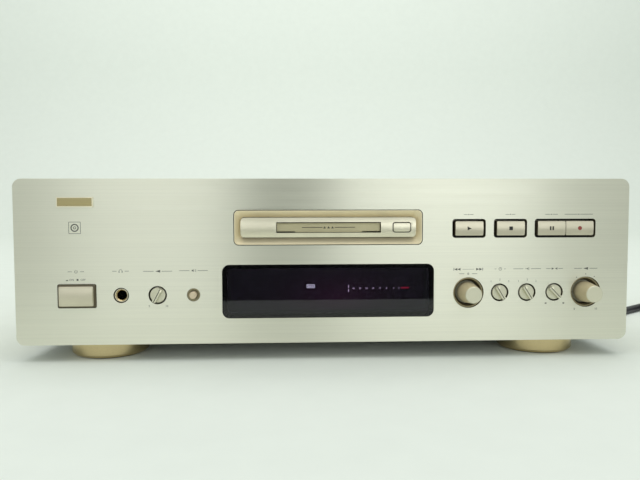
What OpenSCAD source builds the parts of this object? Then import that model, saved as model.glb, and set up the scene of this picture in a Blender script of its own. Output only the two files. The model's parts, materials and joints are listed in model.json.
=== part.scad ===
// Slot-loading minidisc deck: a full-width hi-fi component with a thick
// brushed panel, a loading slot behind a sprung flap, and its mechanism.
// X runs to the right, Y to the rear, Z up. The origin is on the floor, below
// the middle of the deck. Depths named "depth" run back from the panel's face.

/* [Deck] */
// Width of the front panel
deck_w = 434; // [400:1:480]
// Height of the front panel
panel_h = 116; // [108:1:135]
// Depth from the panel's face to the back of the rear panel
deck_d = 326; // [300:1:380]
// Gap between the floor and the panel
floor_gap = 12; // [10:0.5:16]
// Thickness of the front panel
panel_t = 8; // [7:0.5:10]
// Radius of the panel's corners
panel_corner_r = 6; // [3:0.5:10]
// Thickness of the moulded frame behind the panel
frame_t = 3; // [2.5:0.5:4]
// Step from the panel's side edge to the cover
side_step = 2; // [2:0.5:4]
// Step from the panel's top edge to the cover
top_step = 2; // [1:0.5:4]
// Thickness of the cover sheet
cover_t = 1; // [0.8:0.1:1.4]
// Thickness of the chassis and rear sheets
sheet_t = 1.2; // [1:0.1:1.6]
// Height of the chassis pan's side walls
pan_wall_h = 25; // [20:1:30]
// Number of vent slots in each row of the cover
vent_count = 14; // [10:1:16]
// Width of a vent slot
vent_w = 3; // [2:0.5:4]
// Length of a vent slot
vent_l = 38; // [30:1:44]

/* [Feet] */
// Radius of a foot
foot_r = 27.6; // [24:0.1:30]
// Distance of the feet from the panel's ends
foot_x = 55; // [40:1:80]
// Depth of the front feet
foot_front = 33; // [30:1:60]
// Distance of the rear feet from the rear panel
foot_rear = 45; // [35:1:80]
// Height of the pad that shows below a foot
foot_pad_h = 0.8; // [0.5:0.1:1.5]

/* [Loading slot] */
// Middle of the slot, to the right of the deck's middle
slot_x = 0.7; // [-5:0.1:5]
// Height of the slot's middle above the panel's lower edge
slot_up = 81.7; // [78:0.1:86]
// Width of the bezel's sloping wall at each end of the bar
bezel_w = 4.9; // [4:0.1:7]
// Height of the bezel's sloping wall above and below the bar
bezel_h = 5.6; // [4.5:0.1:7]
// Depth of the bezel's sloping sides
bezel_depth = 5; // [4:0.1:6]
// Width of the bar in the bezel
bar_w = 123.8; // [116:0.1:134]
// Height of the bar in the bezel
bar_h = 13.8; // [12.5:0.1:15]
// How far the bar's face bulges
bar_bulge = 1.2; // [0.6:0.1:2]
// Clearance between the cartridge and each end of the slot
slot_side_gap = 0.95; // [0.75:0.05:1.5]
// Clearance between the cartridge and the slot's upper and lower edges
slot_edge_gap = 1.25; // [1.1:0.05:1.5]
// Thickness of the flap
flap_t = 1.2; // [1:0.1:1.4]
// Distance of the eject button from the bar's right end
eject_dx = 10.1; // [9.5:0.1:12]
// Width of the eject button
eject_w = 11.9; // [11:0.1:12.2]
// Height of the eject button
eject_h = 6.1; // [5.5:0.1:6.5]

/* [Display] */
// Middle of the display, to the right of the deck's middle
display_x = 0.7; // [-5:0.1:5]
// Height of the display's middle above the panel's lower edge
display_up = 36.7; // [35:0.1:38]
// Width of the display window
display_w = 150.2; // [146:0.1:156]
// Height of the display window
display_h = 37.9; // [36:0.1:40]
// Thickness of the display window
window_t = 3.6; // [3:0.1:4]
// Width of the step that the window rests on
window_step = 3; // [2.5:0.1:3.5]

/* [Push buttons] */
// Width of a transport button
key_w = 20; // [18:0.1:21]
// Height of a transport button
key_h = 10.1; // [9:0.1:11]
// How far a transport button stands proud
key_proud = 1.3; // [1:0.1:2]
// Gap between a transport button and the panel
key_gap = 1.8; // [1.5:0.1:2]
// Travel of a transport button
key_travel = 1.2; // [0.8:0.1:1.4]
// Height of the transport buttons above the panel's lower edge
keys_up = 80.7; // [79:0.1:83]
// Position of the play button, from the middle between bezel and panel end
play_x = -41.45; // [-43:0.05:-41]
// Position of the stop button, from the middle between bezel and panel end
stop_x = -11.55; // [-12:0.05:-11]
// Middle of the pause and record pair, from the same middle
pair_x = 28.25; // [28:0.05:30]
// Position of the power button, from the middle between panel end and display
power_x = -29.1; // [-34:0.1:-28]
// Width of the power button's opening
power_w = 26.7; // [24:0.1:28]
// Height of the power button's opening
power_h = 16.8; // [15:0.1:18]
// How far the power button stands proud when it is latched in
power_proud = 3; // [2.5:0.1:4]
// Draft on each side of the power button's nose
power_draft = 1.8; // [1:0.1:2]
// Position of the monitor button, from the middle between panel end and display
monitor_x = 51.3; // [48:0.1:54]
// Radius of the monitor button
monitor_r = 2.55; // [2:0.05:3]
// How far the monitor button stands proud
monitor_proud = 3; // [2:0.1:4]

/* [Rotary controls] */
// Height of the lower row of controls above the panel's lower edge
row_up = 34.7; // [33:0.1:37]
// Position of the phones level knob, from the middle between panel end and display
phones_level_x = 26.4; // [24:0.1:29]
// Position of the timer knob, from the middle between display and panel end
timer_x = -22.9; // [-24:0.1:-21]
// Position of the input select knob, from the same middle
input_x = -3.1; // [-5:0.1:-1]
// Position of the balance knob, from the same middle
balance_x = 16.9; // [15:0.1:18]
// Radius of a small knob
small_r = 5.4; // [5:0.1:6]
// Radial gap round a small knob
small_gap = 1; // [0.6:0.1:1.2]
// Width of the blade across a small knob
blade_w = 2.6; // [2:0.1:3]
// How far the blade stands proud
blade_proud = 3; // [2:0.1:4]
// Position of the track select knob, from the same middle
select_x = -45.6; // [-48:0.1:-44]
// Position of the input level knob, from the same middle
level_x = 40; // [38:0.1:43]
// Radius of a large knob's tip
knob_tip_r = 5.9; // [5:0.1:6.5]
// Radius of a large knob where it leaves the panel
knob_root_r = 7.4; // [7:0.1:8]
// How far a large knob stands proud
knob_proud = 13.4; // [10:0.1:16]
// Width of the rim of the dark ring round a large knob, with its gap
well_w = 1.2; // [0.8:0.1:2]
// Radius of the spindles
spindle_r = 3; // [2.5:0.1:3]

/* [Sockets] */
// Position of the phones socket, from the middle between panel end and display
phones_x = 1.2; // [-1:0.1:3]
// Radius of the phones socket's bore
phones_bore_r = 3.2; // [3.2:0.05:3.3]
// Radius of the gold ring round the phones socket
phones_ring_r = 4.75; // [4.6:0.05:5]
// Radius of a phono socket's shell
phono_r = 4.15; // [4.1:0.05:4.3]
// How far the phono sockets stand out of the rear panel
phono_proud = 11.4; // [9:0.1:13]
// Spacing of the phono sockets
phono_pitch = 18; // [16:0.5:22]

/* [Mechanism] */
// Width of the disc cartridge
cartridge_w = 72; // [64:0.5:76]
// Length of the disc cartridge
cartridge_l = 68; // [62:0.5:74]
// Thickness of the disc cartridge
cartridge_t = 5; // [4.5:0.1:5.5]
// How far the holder drops to the turntable
holder_drop = 4; // [3.5:0.1:4]
// Travel of the loading slider
slider_travel = 14; // [12:0.5:14]
// Travel of the pickup
pickup_travel = 16; // [14:0.5:16]
// Module of the loading gear's teeth
gear_module = 1; // [0.8:0.1:1.1]
// Teeth of the loading gear
gear_teeth = 12; // [10:1:14]
// Radius of the guide rods
rod_r = 1.5; // [1.2:0.1:1.6]

/* [Power cord] */
// Diameter of the cord
cord_d = 7; // [6:0.1:7.4]
// Gap between neighbouring turns of the stored coil
coil_space = 0.6; // [0.6:0.1:1]
// Whole turns in the stored coil
coil_count = 5; // [4:1:5]

/* [Hidden] */
$fn = 64;

// Places in the deck's own frame
face_y = knob_proud - (knob_proud + deck_d + phono_proud) / 2;
back_y = face_y + deck_d;
panel_top = floor_gap + panel_h;
slot_z = floor_gap + slot_up;
display_z = floor_gap + display_up;
keys_z = floor_gap + keys_up;
row_z = floor_gap + row_up;
gland_x = 152;
gland_z = floor_gap + 28;

// Clearances and small standard sizes
slack = 0.3;
run_gap = 0.06;
lip = 1.2;
over = 1;

// Layers behind the panel
frame_front = panel_t;
frame_back = panel_t + frame_t;
frame_inset = 5;
board_t = 1.6;
front_board_depth = frame_back + 15;
key_board_depth = frame_back + 13;

// Casing, with the transformer's place, which sets that of the vents above it
cover_w = deck_w - 2 * side_step;
inner_w = cover_w - 2 * cover_t;
cover_top = panel_top - top_step;
pan_z = floor_gap + 2;
pan_top = pan_z + sheet_t;
pan_front_h = 6;
screw_r = 1.9;
screw_head_r = 4;
screw_head_h = 1.7;
screw_hole_r = 2.1;
side_screw_end = 60;
side_screw_depths = [side_screw_end, deck_d - side_screw_end];
side_screw_z = pan_z + pan_wall_h - 8;
rear_screw_side = 24;
rear_screw_xs = [for (side = [-1, 0, 1]) side * (inner_w / 2 - rear_screw_side)];
rear_screw_z = cover_top - cover_t - 5;
rear_lip_h = 9;
transformer_rear = 60;
transformer_depth = deck_d - transformer_rear;
vent_pitch = vent_w + 4;
vent_rows = [transformer_depth - 50, transformer_depth];
foot_top = pan_z;
foot_rim_top = floor_gap - slack;
foot_neck_r = foot_r - 9.6;
foot_pad_out = foot_r - 3.6;
foot_pad_in = 8;
foot_pad_gap = 0.1;
foot_groove = 1;
foot_places = [
    for (side = [-1, 1], d = [foot_front, deck_d - foot_rear]) [side * (deck_w / 2 - foot_x), d]
];

// Loading slot
slot_w = cartridge_w + 2 * slot_side_gap;
slot_h = cartridge_t + 2 * slot_edge_gap;
bezel_open_w = bar_w + 2 * bezel_w;
bezel_open_h = bar_h + 2 * bezel_h;
bezel_gap = 0.1;
bezel_r = 3.5;
bezel_flange = 3;
bezel_flange_t = 1.5;
bar_gap = 0.4;
bar_r = 2.5;
bar_back = frame_back + 3;
flap_pivot_r = 0.8;
flap_depth = 3;
flap_pivot_z = slot_z + slot_h / 2 - 1.1;
flap_low_z = slot_z - slot_h / 2 + slack;
flap_w = slot_w - 2 * slack;
flap_pin_l = 1.5;
flap_notch_w = 12.8;
flap_notch_h = 0.7;
eject_x = slot_x + bar_w / 2 - eject_dx;
eject_gap = 0.7;
eject_travel = 1;
eject_proud = 0.9;

// Display
window_gap = 0.2;
window_inset = 0.4;
window_r = 5;
tube_w = display_w - 10.2;
tube_h = display_h - 7.9;
tube_t = 8;
tube_depth = frame_back + 0.5;

// Middles of the three fields that hold the controls
keys_mid = (slot_x + bezel_open_w / 2 + deck_w / 2) / 2;
left_mid = (display_x - display_w / 2 - deck_w / 2) / 2;
right_mid = (display_x + display_w / 2 + deck_w / 2) / 2;
play_at = keys_mid + play_x;
stop_at = keys_mid + stop_x;
pair_at = keys_mid + pair_x;
power_at = left_mid + power_x;
phones_at = left_mid + phones_x;
phones_level_at = left_mid + phones_level_x;
monitor_at = left_mid + monitor_x;
select_at = right_mid + select_x;
timer_at = right_mid + timer_x;
input_at = right_mid + input_x;
balance_at = right_mid + balance_x;
level_at = right_mid + level_x;

// Buttons
key_hole_w = key_w + 2 * (key_gap + 0.2);
key_hole_h = key_h + 2 * key_gap - 0.3;
key_hole_r = 2.1;
key_r = 0.8;
key_bulge = 0.6;
pair_gap = 0.4;
pause_at = pair_at - (key_w + pair_gap) / 2;
record_at = pair_at + (key_w + pair_gap) / 2;
pair_hole_w = 2 * key_w + pair_gap + 2 * (key_gap + 0.2);
flange_t = 1.2;
flange_out = 1.2;
switch_w = 6;
switch_h = 4.3;
stem_r = 1.5;
power_gap = 0.3;
power_off = 3;
power_over = 1;
power_hole_r = 1.2;
monitor_hole_r = monitor_r + 2.05;
monitor_travel = 1.5;
bracket_w = 28;

// Rotary controls
small_hole_r = small_r + small_gap;
body_w = 10;
large_body_w = 14;
small_controls = [phones_level_at, timer_at, input_at, balance_at];
large_controls = [select_at, level_at];
body_depth = frame_back + 5;
spindle_end = frame_back + 10;
shaft_end = frame_back + 11;
knob_foot = panel_t - 1.5;
well_gap = 0.2;
knob_lip = 0.8;
well_floor_r = knob_root_r + knob_lip + 0.8;
well_rim_r = well_floor_r + 0.8;
well_r = well_rim_r + well_w;
push_travel = 1;
push_disc_t = 1.8;
push_gap = 0.2;
phones_angle = 28;
timer_angle = -31;
input_angle = -32;
balance_angle = -43.6;

// Mechanism: widths about the slot's middle, depths about the disc's hub
mech_x = slot_x;
mech_front = key_board_depth + 2 * board_t + 1;
mech_l = 110;
mech_back = mech_front + mech_l;
mech_t = 1.5;
mech_wall_top = slot_z + 10;
holder_t = 0.8;
holder_in_w = cartridge_w + 0.8;
holder_in_h = cartridge_t + 1;
holder_half_w = holder_in_w / 2 + holder_t;
holder_front = mech_front + 2;
holder_back = holder_front + cartridge_l + 2;
holder_low = slot_z - holder_in_h / 2;
hub_depth = holder_front + cartridge_l / 2 + 2;
hub_window_half = 10;
cam_pin_r = 1.2;
cam_gap = 0.3;
cam_pins = [hub_depth - 10, hub_depth + 20];
cam_pin_z = slot_z;
slider_t = 3;
slider_x = holder_half_w + 3.1;
slider_front = hub_depth - 32;
slider_back = hub_depth + 30;
slider_low = slot_z - 11;
slider_top = slot_z + 5;
mech_half_w = slider_x + slider_t + 1.2 + mech_t;
gear_r = gear_module * gear_teeth / 2;
gear_tip_r = gear_r + 0.8 * gear_module;
rack_line = slider_low - gear_module;
gear_depth = hub_depth;
gear_z = rack_line - gear_r;
gear_bore_r = 1.5;
rack_teeth = 12;
mech_base_z = gear_z - gear_tip_r - 0.9 - mech_t;
mech_floor = mech_base_z + mech_t;
loading_motor_r = 5;
spindle_motor_r = 9;
spindle_motor_h = 8;
spindle_shaft_r = 1;
turntable_r = 8;
turntable_z = slot_z - 11;
turntable_t = 2.5;
hub_r = 3;
hub_h = 5;
pickup_depth = hub_depth + 17;
pickup_half = 7;
cross_wall_front = hub_depth - 17;
cross_wall_back = pickup_depth + pickup_half + pickup_travel + 10;
cross_wall_top = slot_z - 10.4;
rod_x = 22;
rod_z = slot_z - 14;
screw_x = -13;
screw_z = rod_z - 2.5;
screw_rr = 1.6;
pickup_low = rod_z - 4.5;
pickup_top = rod_z + 4;
lens_r = 3;
lens_h = 2;
bracket_depth = pickup_depth + 22;
bracket_half_w = 5;
bracket_t = 1.2;
bracket_l = 5;
arm_pivot_z = slot_z + 11;
arm_pivot_r = 1;
arm_half_w = 4;
arm_t = 1.2;
head_half = 2.5;
stand_r = 5;
damper_r = 6.5;
damper_h = 4;
stand_places = [
    for (x = [-1, 1], d = [mech_front + 14, mech_back - 10]) [mech_x + x * (mech_half_w - 10), d]
];
sled_motor_r = 5;
sled_motor_l = 12;

// Boards and power supply
board_z = pan_top + 7;
board_top = board_z + board_t;
board_seat = board_z + board_t / 2;
board_side = 8;
board_hole_in = 8;
power_board_w = 136;
power_board_l = 72;
transformer_w = 66;
transformer_l = 56;
transformer_h = 56;
winding_l = 76;
winding_w = 11.6;
window_in = 12;
transformer_side = 94;
transformer_x = inner_w / 2 - transformer_side;
power_board_at = [
    inner_w / 2 - board_side - power_board_w,
    transformer_depth - winding_l / 2 - 6 - power_board_l
];
main_board_at = [board_side - inner_w / 2, mech_back + 12];
main_board_end = [power_board_at[0] - 30, deck_d - sheet_t - 16];
heat_sink_h = 32;
heat_sink_w = 106;
fin_count = 9;
fin_pitch = 12;
fin_l = 10;
capacitor_r = 9;
capacitor_h = 30;
front_board_from = power_at + bracket_w / 2 + 0.8;
front_board_to = inner_w / 2 - board_side;
front_board_low = floor_gap + 8;
front_board_high = display_z + display_h / 2 - 1.65;
standoff_r = 3;
boss_r = 3;
front_boss_zs = [front_board_low + 4.5, front_board_high - 4];
front_boss_xs = [
    front_board_from + 5, (monitor_at + monitor_hole_r + display_x - display_w / 2) / 2,
    (display_x + display_w / 2 + select_at - well_r) / 2, front_board_to - 4
];
key_boss_xs = [
    play_at - key_w / 2 - 8, (play_at + stop_at) / 2,
    (stop_at + pair_at - key_w / 2 - pair_gap / 2) / 2, pair_at + key_w + 7
];
key_boss_r = 2.5;
key_board_from = key_boss_xs[0] - 6.8;
key_board_to = key_boss_xs[3] + 4.5;
key_board_low = keys_z - 11;
key_board_high = keys_z + 11;

// Rear sockets
phono_x = 34 - inner_w / 2;
phono_low_z = pan_top + 30;
coax_x = phono_x + phono_pitch + 34;
optical_x = coax_x + 24;
optical_w = 14;
optical_h = 12;
phono_bore_r = 1.65;
phono_flange_r = phono_r + 1.4;
jack_body_l = 14;
jack_margin = 9;
sheet_gap = 0.4;

// Cord
cord_r = cord_d / 2;
gland_r = 6.5;
gland_l = 28;
gland_hole_r = 7;
cord_start = [gland_x, back_y + gland_l, gland_z];
coil_centre = [395, 2.6];
coil_out_r = 48.5;
coil_heading = 36.87;
coil_pitch = cord_d + coil_space;
coil_turns = coil_count + (90 + coil_heading) / 360;
coil_rings = 24;
coil_sides = 6;
cord_sides = 10;
coil_tail = 26;
coil_low_z = cord_r;
coil_high_z = coil_low_z + coil_pitch;
// The cord's free stretch, laid by hand: out of the gland, down to the
// floor, forward beside the deck and round to the coil
lie_z = cord_r;
cord_route = [
    [152, 206, 40], [152.5, 219.5, 37], [156.5, 231, 30], [162, 239, 20], [170, 245, 10.5],
    [181.5, 249.5, 5], [195.5, 250.5, lie_z], [209, 247.5, lie_z], [221, 240, lie_z],
    [230.5, 230, lie_z], [236.5, 217.5, lie_z], [238.5, 203.5, lie_z], [238.5, 188, lie_z],
    [238.5, 170, lie_z], [238.5, 152, lie_z], [238.5, 134, lie_z], [238.5, 116, lie_z],
    [238.5, 98, lie_z], [238.5, 80, lie_z], [238.5, 62, lie_z], [238.5, 44, lie_z], [238.5, 28, lie_z],
    [239.5, 13.5, lie_z], [245, 1, lie_z], [254.5, -9, lie_z], [267, -15, lie_z], [281, -16, lie_z],
    [294.5, -12, lie_z], [306, -3.5, lie_z], [318, 5.5, lie_z], [330, 14.5, lie_z], [345, 25.75, lie_z]
];
plug_w = 26;
plug_l = 32;
plug_nose_l = 14;
blade_l = 17;
blade_h = 6.3;
blade_thick = 1.5;
blade_spacing = 12.7;

// A rectangle with round corners, about its middle
module rounded_rect(w, h, r) {
    square([w - 2 * r, h], center = true);
    square([w, h - 2 * r], center = true);
    for (x = [-1, 1], y = [-1, 1])
        translate([x * (w / 2 - r), y * (h / 2 - r)]) circle(r);
}

// A plate parallel to the panel, between two depths
module plate(x, z, w, h, r, front, back) {
    translate([x, face_y + back, z]) rotate([90, 0, 0])
        linear_extrude(back - front) rounded_rect(w, h, r);
}

// A square-cornered block about a point of the panel, between two depths
module block(x, z, w, h, front, back) {
    translate([x - w / 2, face_y + front, z - h / 2]) cube([w, back - front, h]);
}

// A box from its low to its high corner, with depths along Y
module box(low, high) {
    translate([low[0], face_y + low[1], low[2]])
        cube([high[0] - low[0], high[1] - low[1], high[2] - low[2]]);
}

// A round bar along the depth
module round_bar(x, z, r, front, back) {
    translate([x, face_y + back, z]) rotate([90, 0, 0]) cylinder(r = r, h = back - front);
}

// A turned shape about the depth axis; profile points are [radius, -depth]
module turned(x, z) {
    translate([x, face_y, z]) rotate([90, 0, 0]) rotate_extrude() children();
}

// A round bar along X
module cross_bar(x0, x1, depth, z, r) {
    translate([x0, face_y + depth, z]) rotate([0, 90, 0]) cylinder(r = r, h = x1 - x0);
}

// A straight-sided slot through X between two places [depth, z]
module cross_slot(x0, x1, from, to, r) {
    run = [to[0] - from[0], to[1] - from[1]];
    cross_bar(x0, x1, from[0], from[1], r);
    cross_bar(x0, x1, to[0], to[1], r);
    translate([x0, face_y + from[0], from[1]]) rotate([atan2(run[1], run[0]), 0, 0])
        translate([0, 0, -r]) cube([x1 - x0, norm(run), 2 * r]);
}

// A block whose front bulges outwards by "bulge"
module bulged_block(x, z, w, h, r, front, back, bulge) {
    radius = (h * h / 4 + bulge * bulge) / (2 * bulge);
    intersection() {
        plate(x, z, w, h, r, front, back);
        cross_bar(x - w, x + w, front + radius, z, radius);
    }
}

// The hollow left by the bezel's sloping sides
module bezel_hollow() {
    hull() {
        plate(slot_x, slot_z, bezel_open_w - 1, bezel_open_h - 1, bezel_r - 0.5, 0, 0.2);
        plate(slot_x, slot_z, bar_w + 2 * bar_gap, bar_h + 2 * bar_gap, bar_r + bar_gap,
              bezel_depth - 0.1, bezel_depth);
    }
}

module key_hole(x, w) {
    plate(x, keys_z, w, key_hole_h, key_hole_r, -over, panel_t + over);
}

module front_panel() {
    color("#CFD0BC") difference() {
        plate(0, floor_gap + panel_h / 2, deck_w, panel_h, panel_corner_r, 0, panel_t);
        plate(slot_x, slot_z, bezel_open_w, bezel_open_h, bezel_r, -over, panel_t + over);
        plate(display_x, display_z, display_w, display_h, window_r, -over,
              window_inset + window_t);
        plate(display_x, display_z, display_w - 2 * window_step, display_h - 2 * window_step,
              window_r - 2, 0, panel_t + over);
        key_hole(play_at, key_hole_w);
        key_hole(stop_at, key_hole_w);
        key_hole(pair_at, pair_hole_w);
        plate(power_at, row_z - 0.3, power_w, power_h, power_hole_r, -over, panel_t + over);
        round_bar(phones_at, row_z, phones_ring_r + 0.6, -over, panel_t + over);
        round_bar(monitor_at, row_z, monitor_hole_r, -over, panel_t + over);
        for (x = small_controls) round_bar(x, row_z, small_hole_r, -over, panel_t + over);
        for (x = large_controls) round_bar(x, row_z, well_r, -over, panel_t + over);
    }
}

// The raised dark ring that lines the panel's opening round a large knob
module knob_well(x) {
    turned(x, row_z) polygon([
        [well_floor_r, -frame_front - over / 2], [well_floor_r, -3.2], [well_rim_r, -2.6],
        [well_rim_r, -lip], [well_r - well_gap, -lip],
        [well_r - well_gap, -frame_front - over / 2]
    ]);
}

module key_guide(x, w) {
    plate(x, keys_z, w + 2 * slack, key_h + 2 * slack, key_r, frame_front - over,
          frame_back + over);
}

module sub_panel() {
    frame_w = deck_w - 2 * frame_inset;
    frame_h = panel_h - 2 * frame_inset;
    color("#26241F") difference() {
        union() {
            plate(0, floor_gap + panel_h / 2, frame_w, frame_h, 3, frame_front, frame_back);
            for (x = large_controls) knob_well(x);
            for (x = front_boss_xs, z = front_boss_zs)
                round_bar(x, z, boss_r, frame_back - over / 2, front_board_depth);
            for (x = key_boss_xs, z = [key_board_low + 3.5, key_board_high - 3.5])
                round_bar(x, z, key_boss_r, frame_back - over / 2, key_board_depth);
        }
        plate(slot_x, slot_z, bezel_open_w + 2 * bezel_flange + 2 * slack,
              bezel_open_h + 2 * bezel_flange + 2 * slack, bezel_r, frame_front - over,
              frame_back + over);
        plate(display_x, display_z, display_w - 2 * window_step, display_h - 2 * window_step,
              window_r - 2, frame_front - over, frame_back + over);
        key_guide(play_at, key_w);
        key_guide(stop_at, key_w);
        key_guide(pair_at, 2 * key_w + pair_gap);
        plate(power_at, row_z - 0.3, power_w, power_h, power_hole_r, frame_front - over,
              frame_back + over);
        round_bar(phones_at, row_z, phones_ring_r + slack, frame_front - over,
                  frame_back + over);
        round_bar(monitor_at, row_z, monitor_r + slack, frame_front - over, frame_back + over);
        for (x = concat(small_controls, large_controls))
            round_bar(x, row_z, spindle_r + 0.4, frame_front - over, frame_back + over);
    }
}

module loading_bezel() {
    color("#B9B28D") difference() {
        union() {
            plate(slot_x, slot_z, bezel_open_w - 2 * bezel_gap, bezel_open_h - 2 * bezel_gap,
                  bezel_r - bezel_gap, 0.1, panel_t + over / 2);
            plate(slot_x, slot_z, bezel_open_w + 2 * bezel_flange, bezel_open_h + 2 * bezel_flange,
                  bezel_r, panel_t, panel_t + bezel_flange_t);
        }
        bezel_hollow();
        plate(slot_x, slot_z, bar_w + 2 * bar_gap, bar_h + 2 * bar_gap, bar_r + bar_gap,
              bezel_depth - over, frame_back + over);
    }
}

module slot_bar() {
    color("#C9C4A4") difference() {
        union() {
            bulged_block(slot_x, slot_z, bar_w, bar_h, bar_r, -0.6, bar_back, bar_bulge);
            plate(slot_x, slot_z, bar_w + 8, bar_h + 8, bar_r, panel_t + bezel_flange_t,
                  frame_back);
        }
        plate(slot_x, slot_z, slot_w, slot_h, 0.5, -over, bar_back + over);
        cross_bar(slot_x - slot_w / 2 - flap_pin_l - slack, slot_x + slot_w / 2 + flap_pin_l
                  + slack, flap_depth, flap_pivot_z, flap_pivot_r + run_gap);
        plate(eject_x, slot_z, eject_w + 2 * eject_gap, eject_h + 2 * eject_gap, 2, -over,
              bar_back + over);
    }
}

module slot_flap() {
    color("#A8A684") difference() {
        union() {
            cross_bar(slot_x - flap_w / 2, slot_x + flap_w / 2, flap_depth, flap_pivot_z,
                      flap_pivot_r);
            cross_bar(slot_x - slot_w / 2 - flap_pin_l, slot_x + slot_w / 2 + flap_pin_l,
                      flap_depth, flap_pivot_z, flap_pivot_r);
            box([slot_x - flap_w / 2, flap_depth - flap_t / 2, flap_low_z],
                [slot_x + flap_w / 2, flap_depth + flap_t / 2, flap_pivot_z]);
        }
        for (side = [-1, 1])
            block(slot_x + side * (flap_w - flap_notch_w) / 2, flap_low_z,
                  flap_notch_w + 0.1, 2 * flap_notch_h, 0, frame_front);
    }
}

module eject_button() {
    color("#C9C4A4") {
        bulged_block(eject_x, slot_z, eject_w, eject_h, 1.3, -eject_proud,
                     bar_back + slack, 0.4);
        plate(eject_x, slot_z, eject_w + 3, eject_h + 3, 1, bar_back + slack,
              bar_back + slack + flange_t);
        round_bar(eject_x, slot_z, stem_r, bar_back + slack + flange_t,
                  key_board_depth - switch_h - eject_travel - slack + board_t);
    }
}

module display_window() {
    color("#140E14") plate(display_x, display_z, display_w - 2 * window_gap,
                           display_h - 2 * window_gap, window_r - window_gap, window_inset,
                           window_inset + window_t);
}

module display_tube() {
    color("#201A20") {
        block(display_x, display_z, tube_w, tube_h, tube_depth, tube_depth + tube_t);
        for (side = [-1, 1])
            block(display_x + side * (tube_w / 2 - 8), display_z, 10, 20, tube_depth + tube_t,
                  front_board_depth);
    }
}

module front_board() {
    color("#2E5A3A") box([front_board_from, front_board_depth, front_board_low],
                         [front_board_to, front_board_depth + board_t, front_board_high]);
    color("#26241F") {
        block(monitor_at, row_z, switch_w, switch_w, front_board_depth - switch_h,
              front_board_depth + board_t / 2);
        block(0, front_board_low + 6, 40, 6, front_board_depth + board_t / 2,
              front_board_depth + board_t + 5);
    }
}

module key_board() {
    color("#2E5A3A") {
        box([key_board_from, key_board_depth, key_board_low],
            [key_board_to, key_board_depth + board_t, key_board_high]);
        box([eject_x - 4.5, key_board_depth + board_t, slot_z - 6],
            [key_board_from + 6, key_board_depth + 2 * board_t, slot_z + 6]);
        box([key_board_from, key_board_depth + board_t / 2, slot_z - 6],
            [key_board_from + 6, key_board_depth + 1.5 * board_t, slot_z + 6]);
    }
    color("#26241F") {
        for (x = [play_at, stop_at, pause_at, record_at])
            block(x, keys_z, switch_w, switch_w, key_board_depth - switch_h,
                  key_board_depth + board_t / 2);
        block(eject_x, slot_z, switch_w, switch_w, key_board_depth + board_t - switch_h,
              key_board_depth + 1.5 * board_t);
    }
}

module key_button(x) {
    bulged_block(x, keys_z, key_w, key_h, key_r, -key_proud, frame_back + slack, key_bulge);
    plate(x, keys_z, key_w - slack, key_h + 2 * flange_out + 2 * slack, key_r,
          frame_back + slack, frame_back + slack + flange_t);
    round_bar(x, keys_z, stem_r, frame_back + slack + flange_t,
              key_board_depth - switch_h - key_travel - slack);
}

module play_button() { color("#C2BCA0") key_button(play_at); }
module stop_button() { color("#C2BCA0") key_button(stop_at); }
module pause_button() { color("#C2BCA0") key_button(pause_at); }
module record_button() { color("#C2BCA0") key_button(record_at); }

module power_button() {
    nose_w = power_w - 2 * power_gap;
    nose_h = power_h - 2 * power_gap;
    button_z = row_z - 0.3;
    color("#CFC7AC") {
        hull() {
            plate(power_at, button_z, nose_w - 2 * power_draft, nose_h - 2 * power_draft, 0.8,
                  -power_proud, -power_proud + 0.2);
            plate(power_at, button_z, nose_w, nose_h, power_hole_r, 0, 0.2);
        }
        plate(power_at, button_z, nose_w, nose_h, power_hole_r, 0.2,
              frame_back + power_off + slack);
        plate(power_at, button_z, nose_w + 3, nose_h + 3, power_hole_r,
              frame_back + power_off + slack, frame_back + power_off + slack + flange_t);
        block(power_at, button_z, 6, 5, frame_back + power_off + slack + flange_t,
              front_board_depth + 4);
    }
}

module power_switch() {
    color("#3A382F") difference() {
        box([power_at - 10, front_board_depth, row_z - 10],
            [power_at + 10, front_board_depth + 26, row_z + 10]);
        block(power_at, row_z - 0.3, 6.6, 5.6, front_board_depth - over,
              front_board_depth + 4 + power_over + slack);
    }
    color("#9A9A90") difference() {
        box([power_at - bracket_w / 2, front_board_depth, pan_top],
            [power_at + bracket_w / 2, front_board_depth + 26, row_z - 10]);
        box([power_at - bracket_w / 2 + sheet_t, front_board_depth - over, pan_top - over],
            [power_at + bracket_w / 2 - sheet_t, front_board_depth + 26 + over,
             row_z - 10 - sheet_t]);
    }
}

module phones_ring() {
    color("#C8AE58") turned(phones_at, row_z) polygon([
        [phones_bore_r, -frame_back - 3], [phones_bore_r, -1.6], [phones_bore_r + 1, -0.6],
        [phones_ring_r, -0.6], [phones_ring_r, -frame_back - 3]
    ]);
}

module phones_socket() {
    color("#1C1B19") difference() {
        block(phones_at, row_z, 14, 14, frame_back + 3, front_board_depth);
        round_bar(phones_at, row_z, phones_bore_r, frame_back, front_board_depth - 2);
    }
}

// A small knob: a disc on a spindle, with a raised blade that points its way
module small_knob(x, angle) {
    turned(x, row_z) polygon([
        [0, -spindle_end], [spindle_r, -spindle_end], [spindle_r, -panel_t + 1.5],
        [small_r, -panel_t + 1.5], [small_r, -0.4], [small_r - 0.4, 0], [0, 0]
    ]);
    intersection() {
        round_bar(x, row_z, small_r - 0.2, -blade_proud, 1);
        translate([x, face_y, row_z]) rotate([0, angle, 0])
            translate([-blade_w / 2, -blade_proud, -small_r])
                cube([blade_w, blade_proud + 0.5, 2 * small_r]);
    }
}

module phones_level_knob() { color("#C9C8AE") small_knob(phones_level_at, phones_angle); }
module timer_knob() { color("#C9C8AE") small_knob(timer_at, timer_angle); }
module input_select_knob() { color("#C9C8AE") small_knob(input_at, input_angle); }
module balance_knob() { color("#C9C8AE") small_knob(balance_at, balance_angle); }

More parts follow.
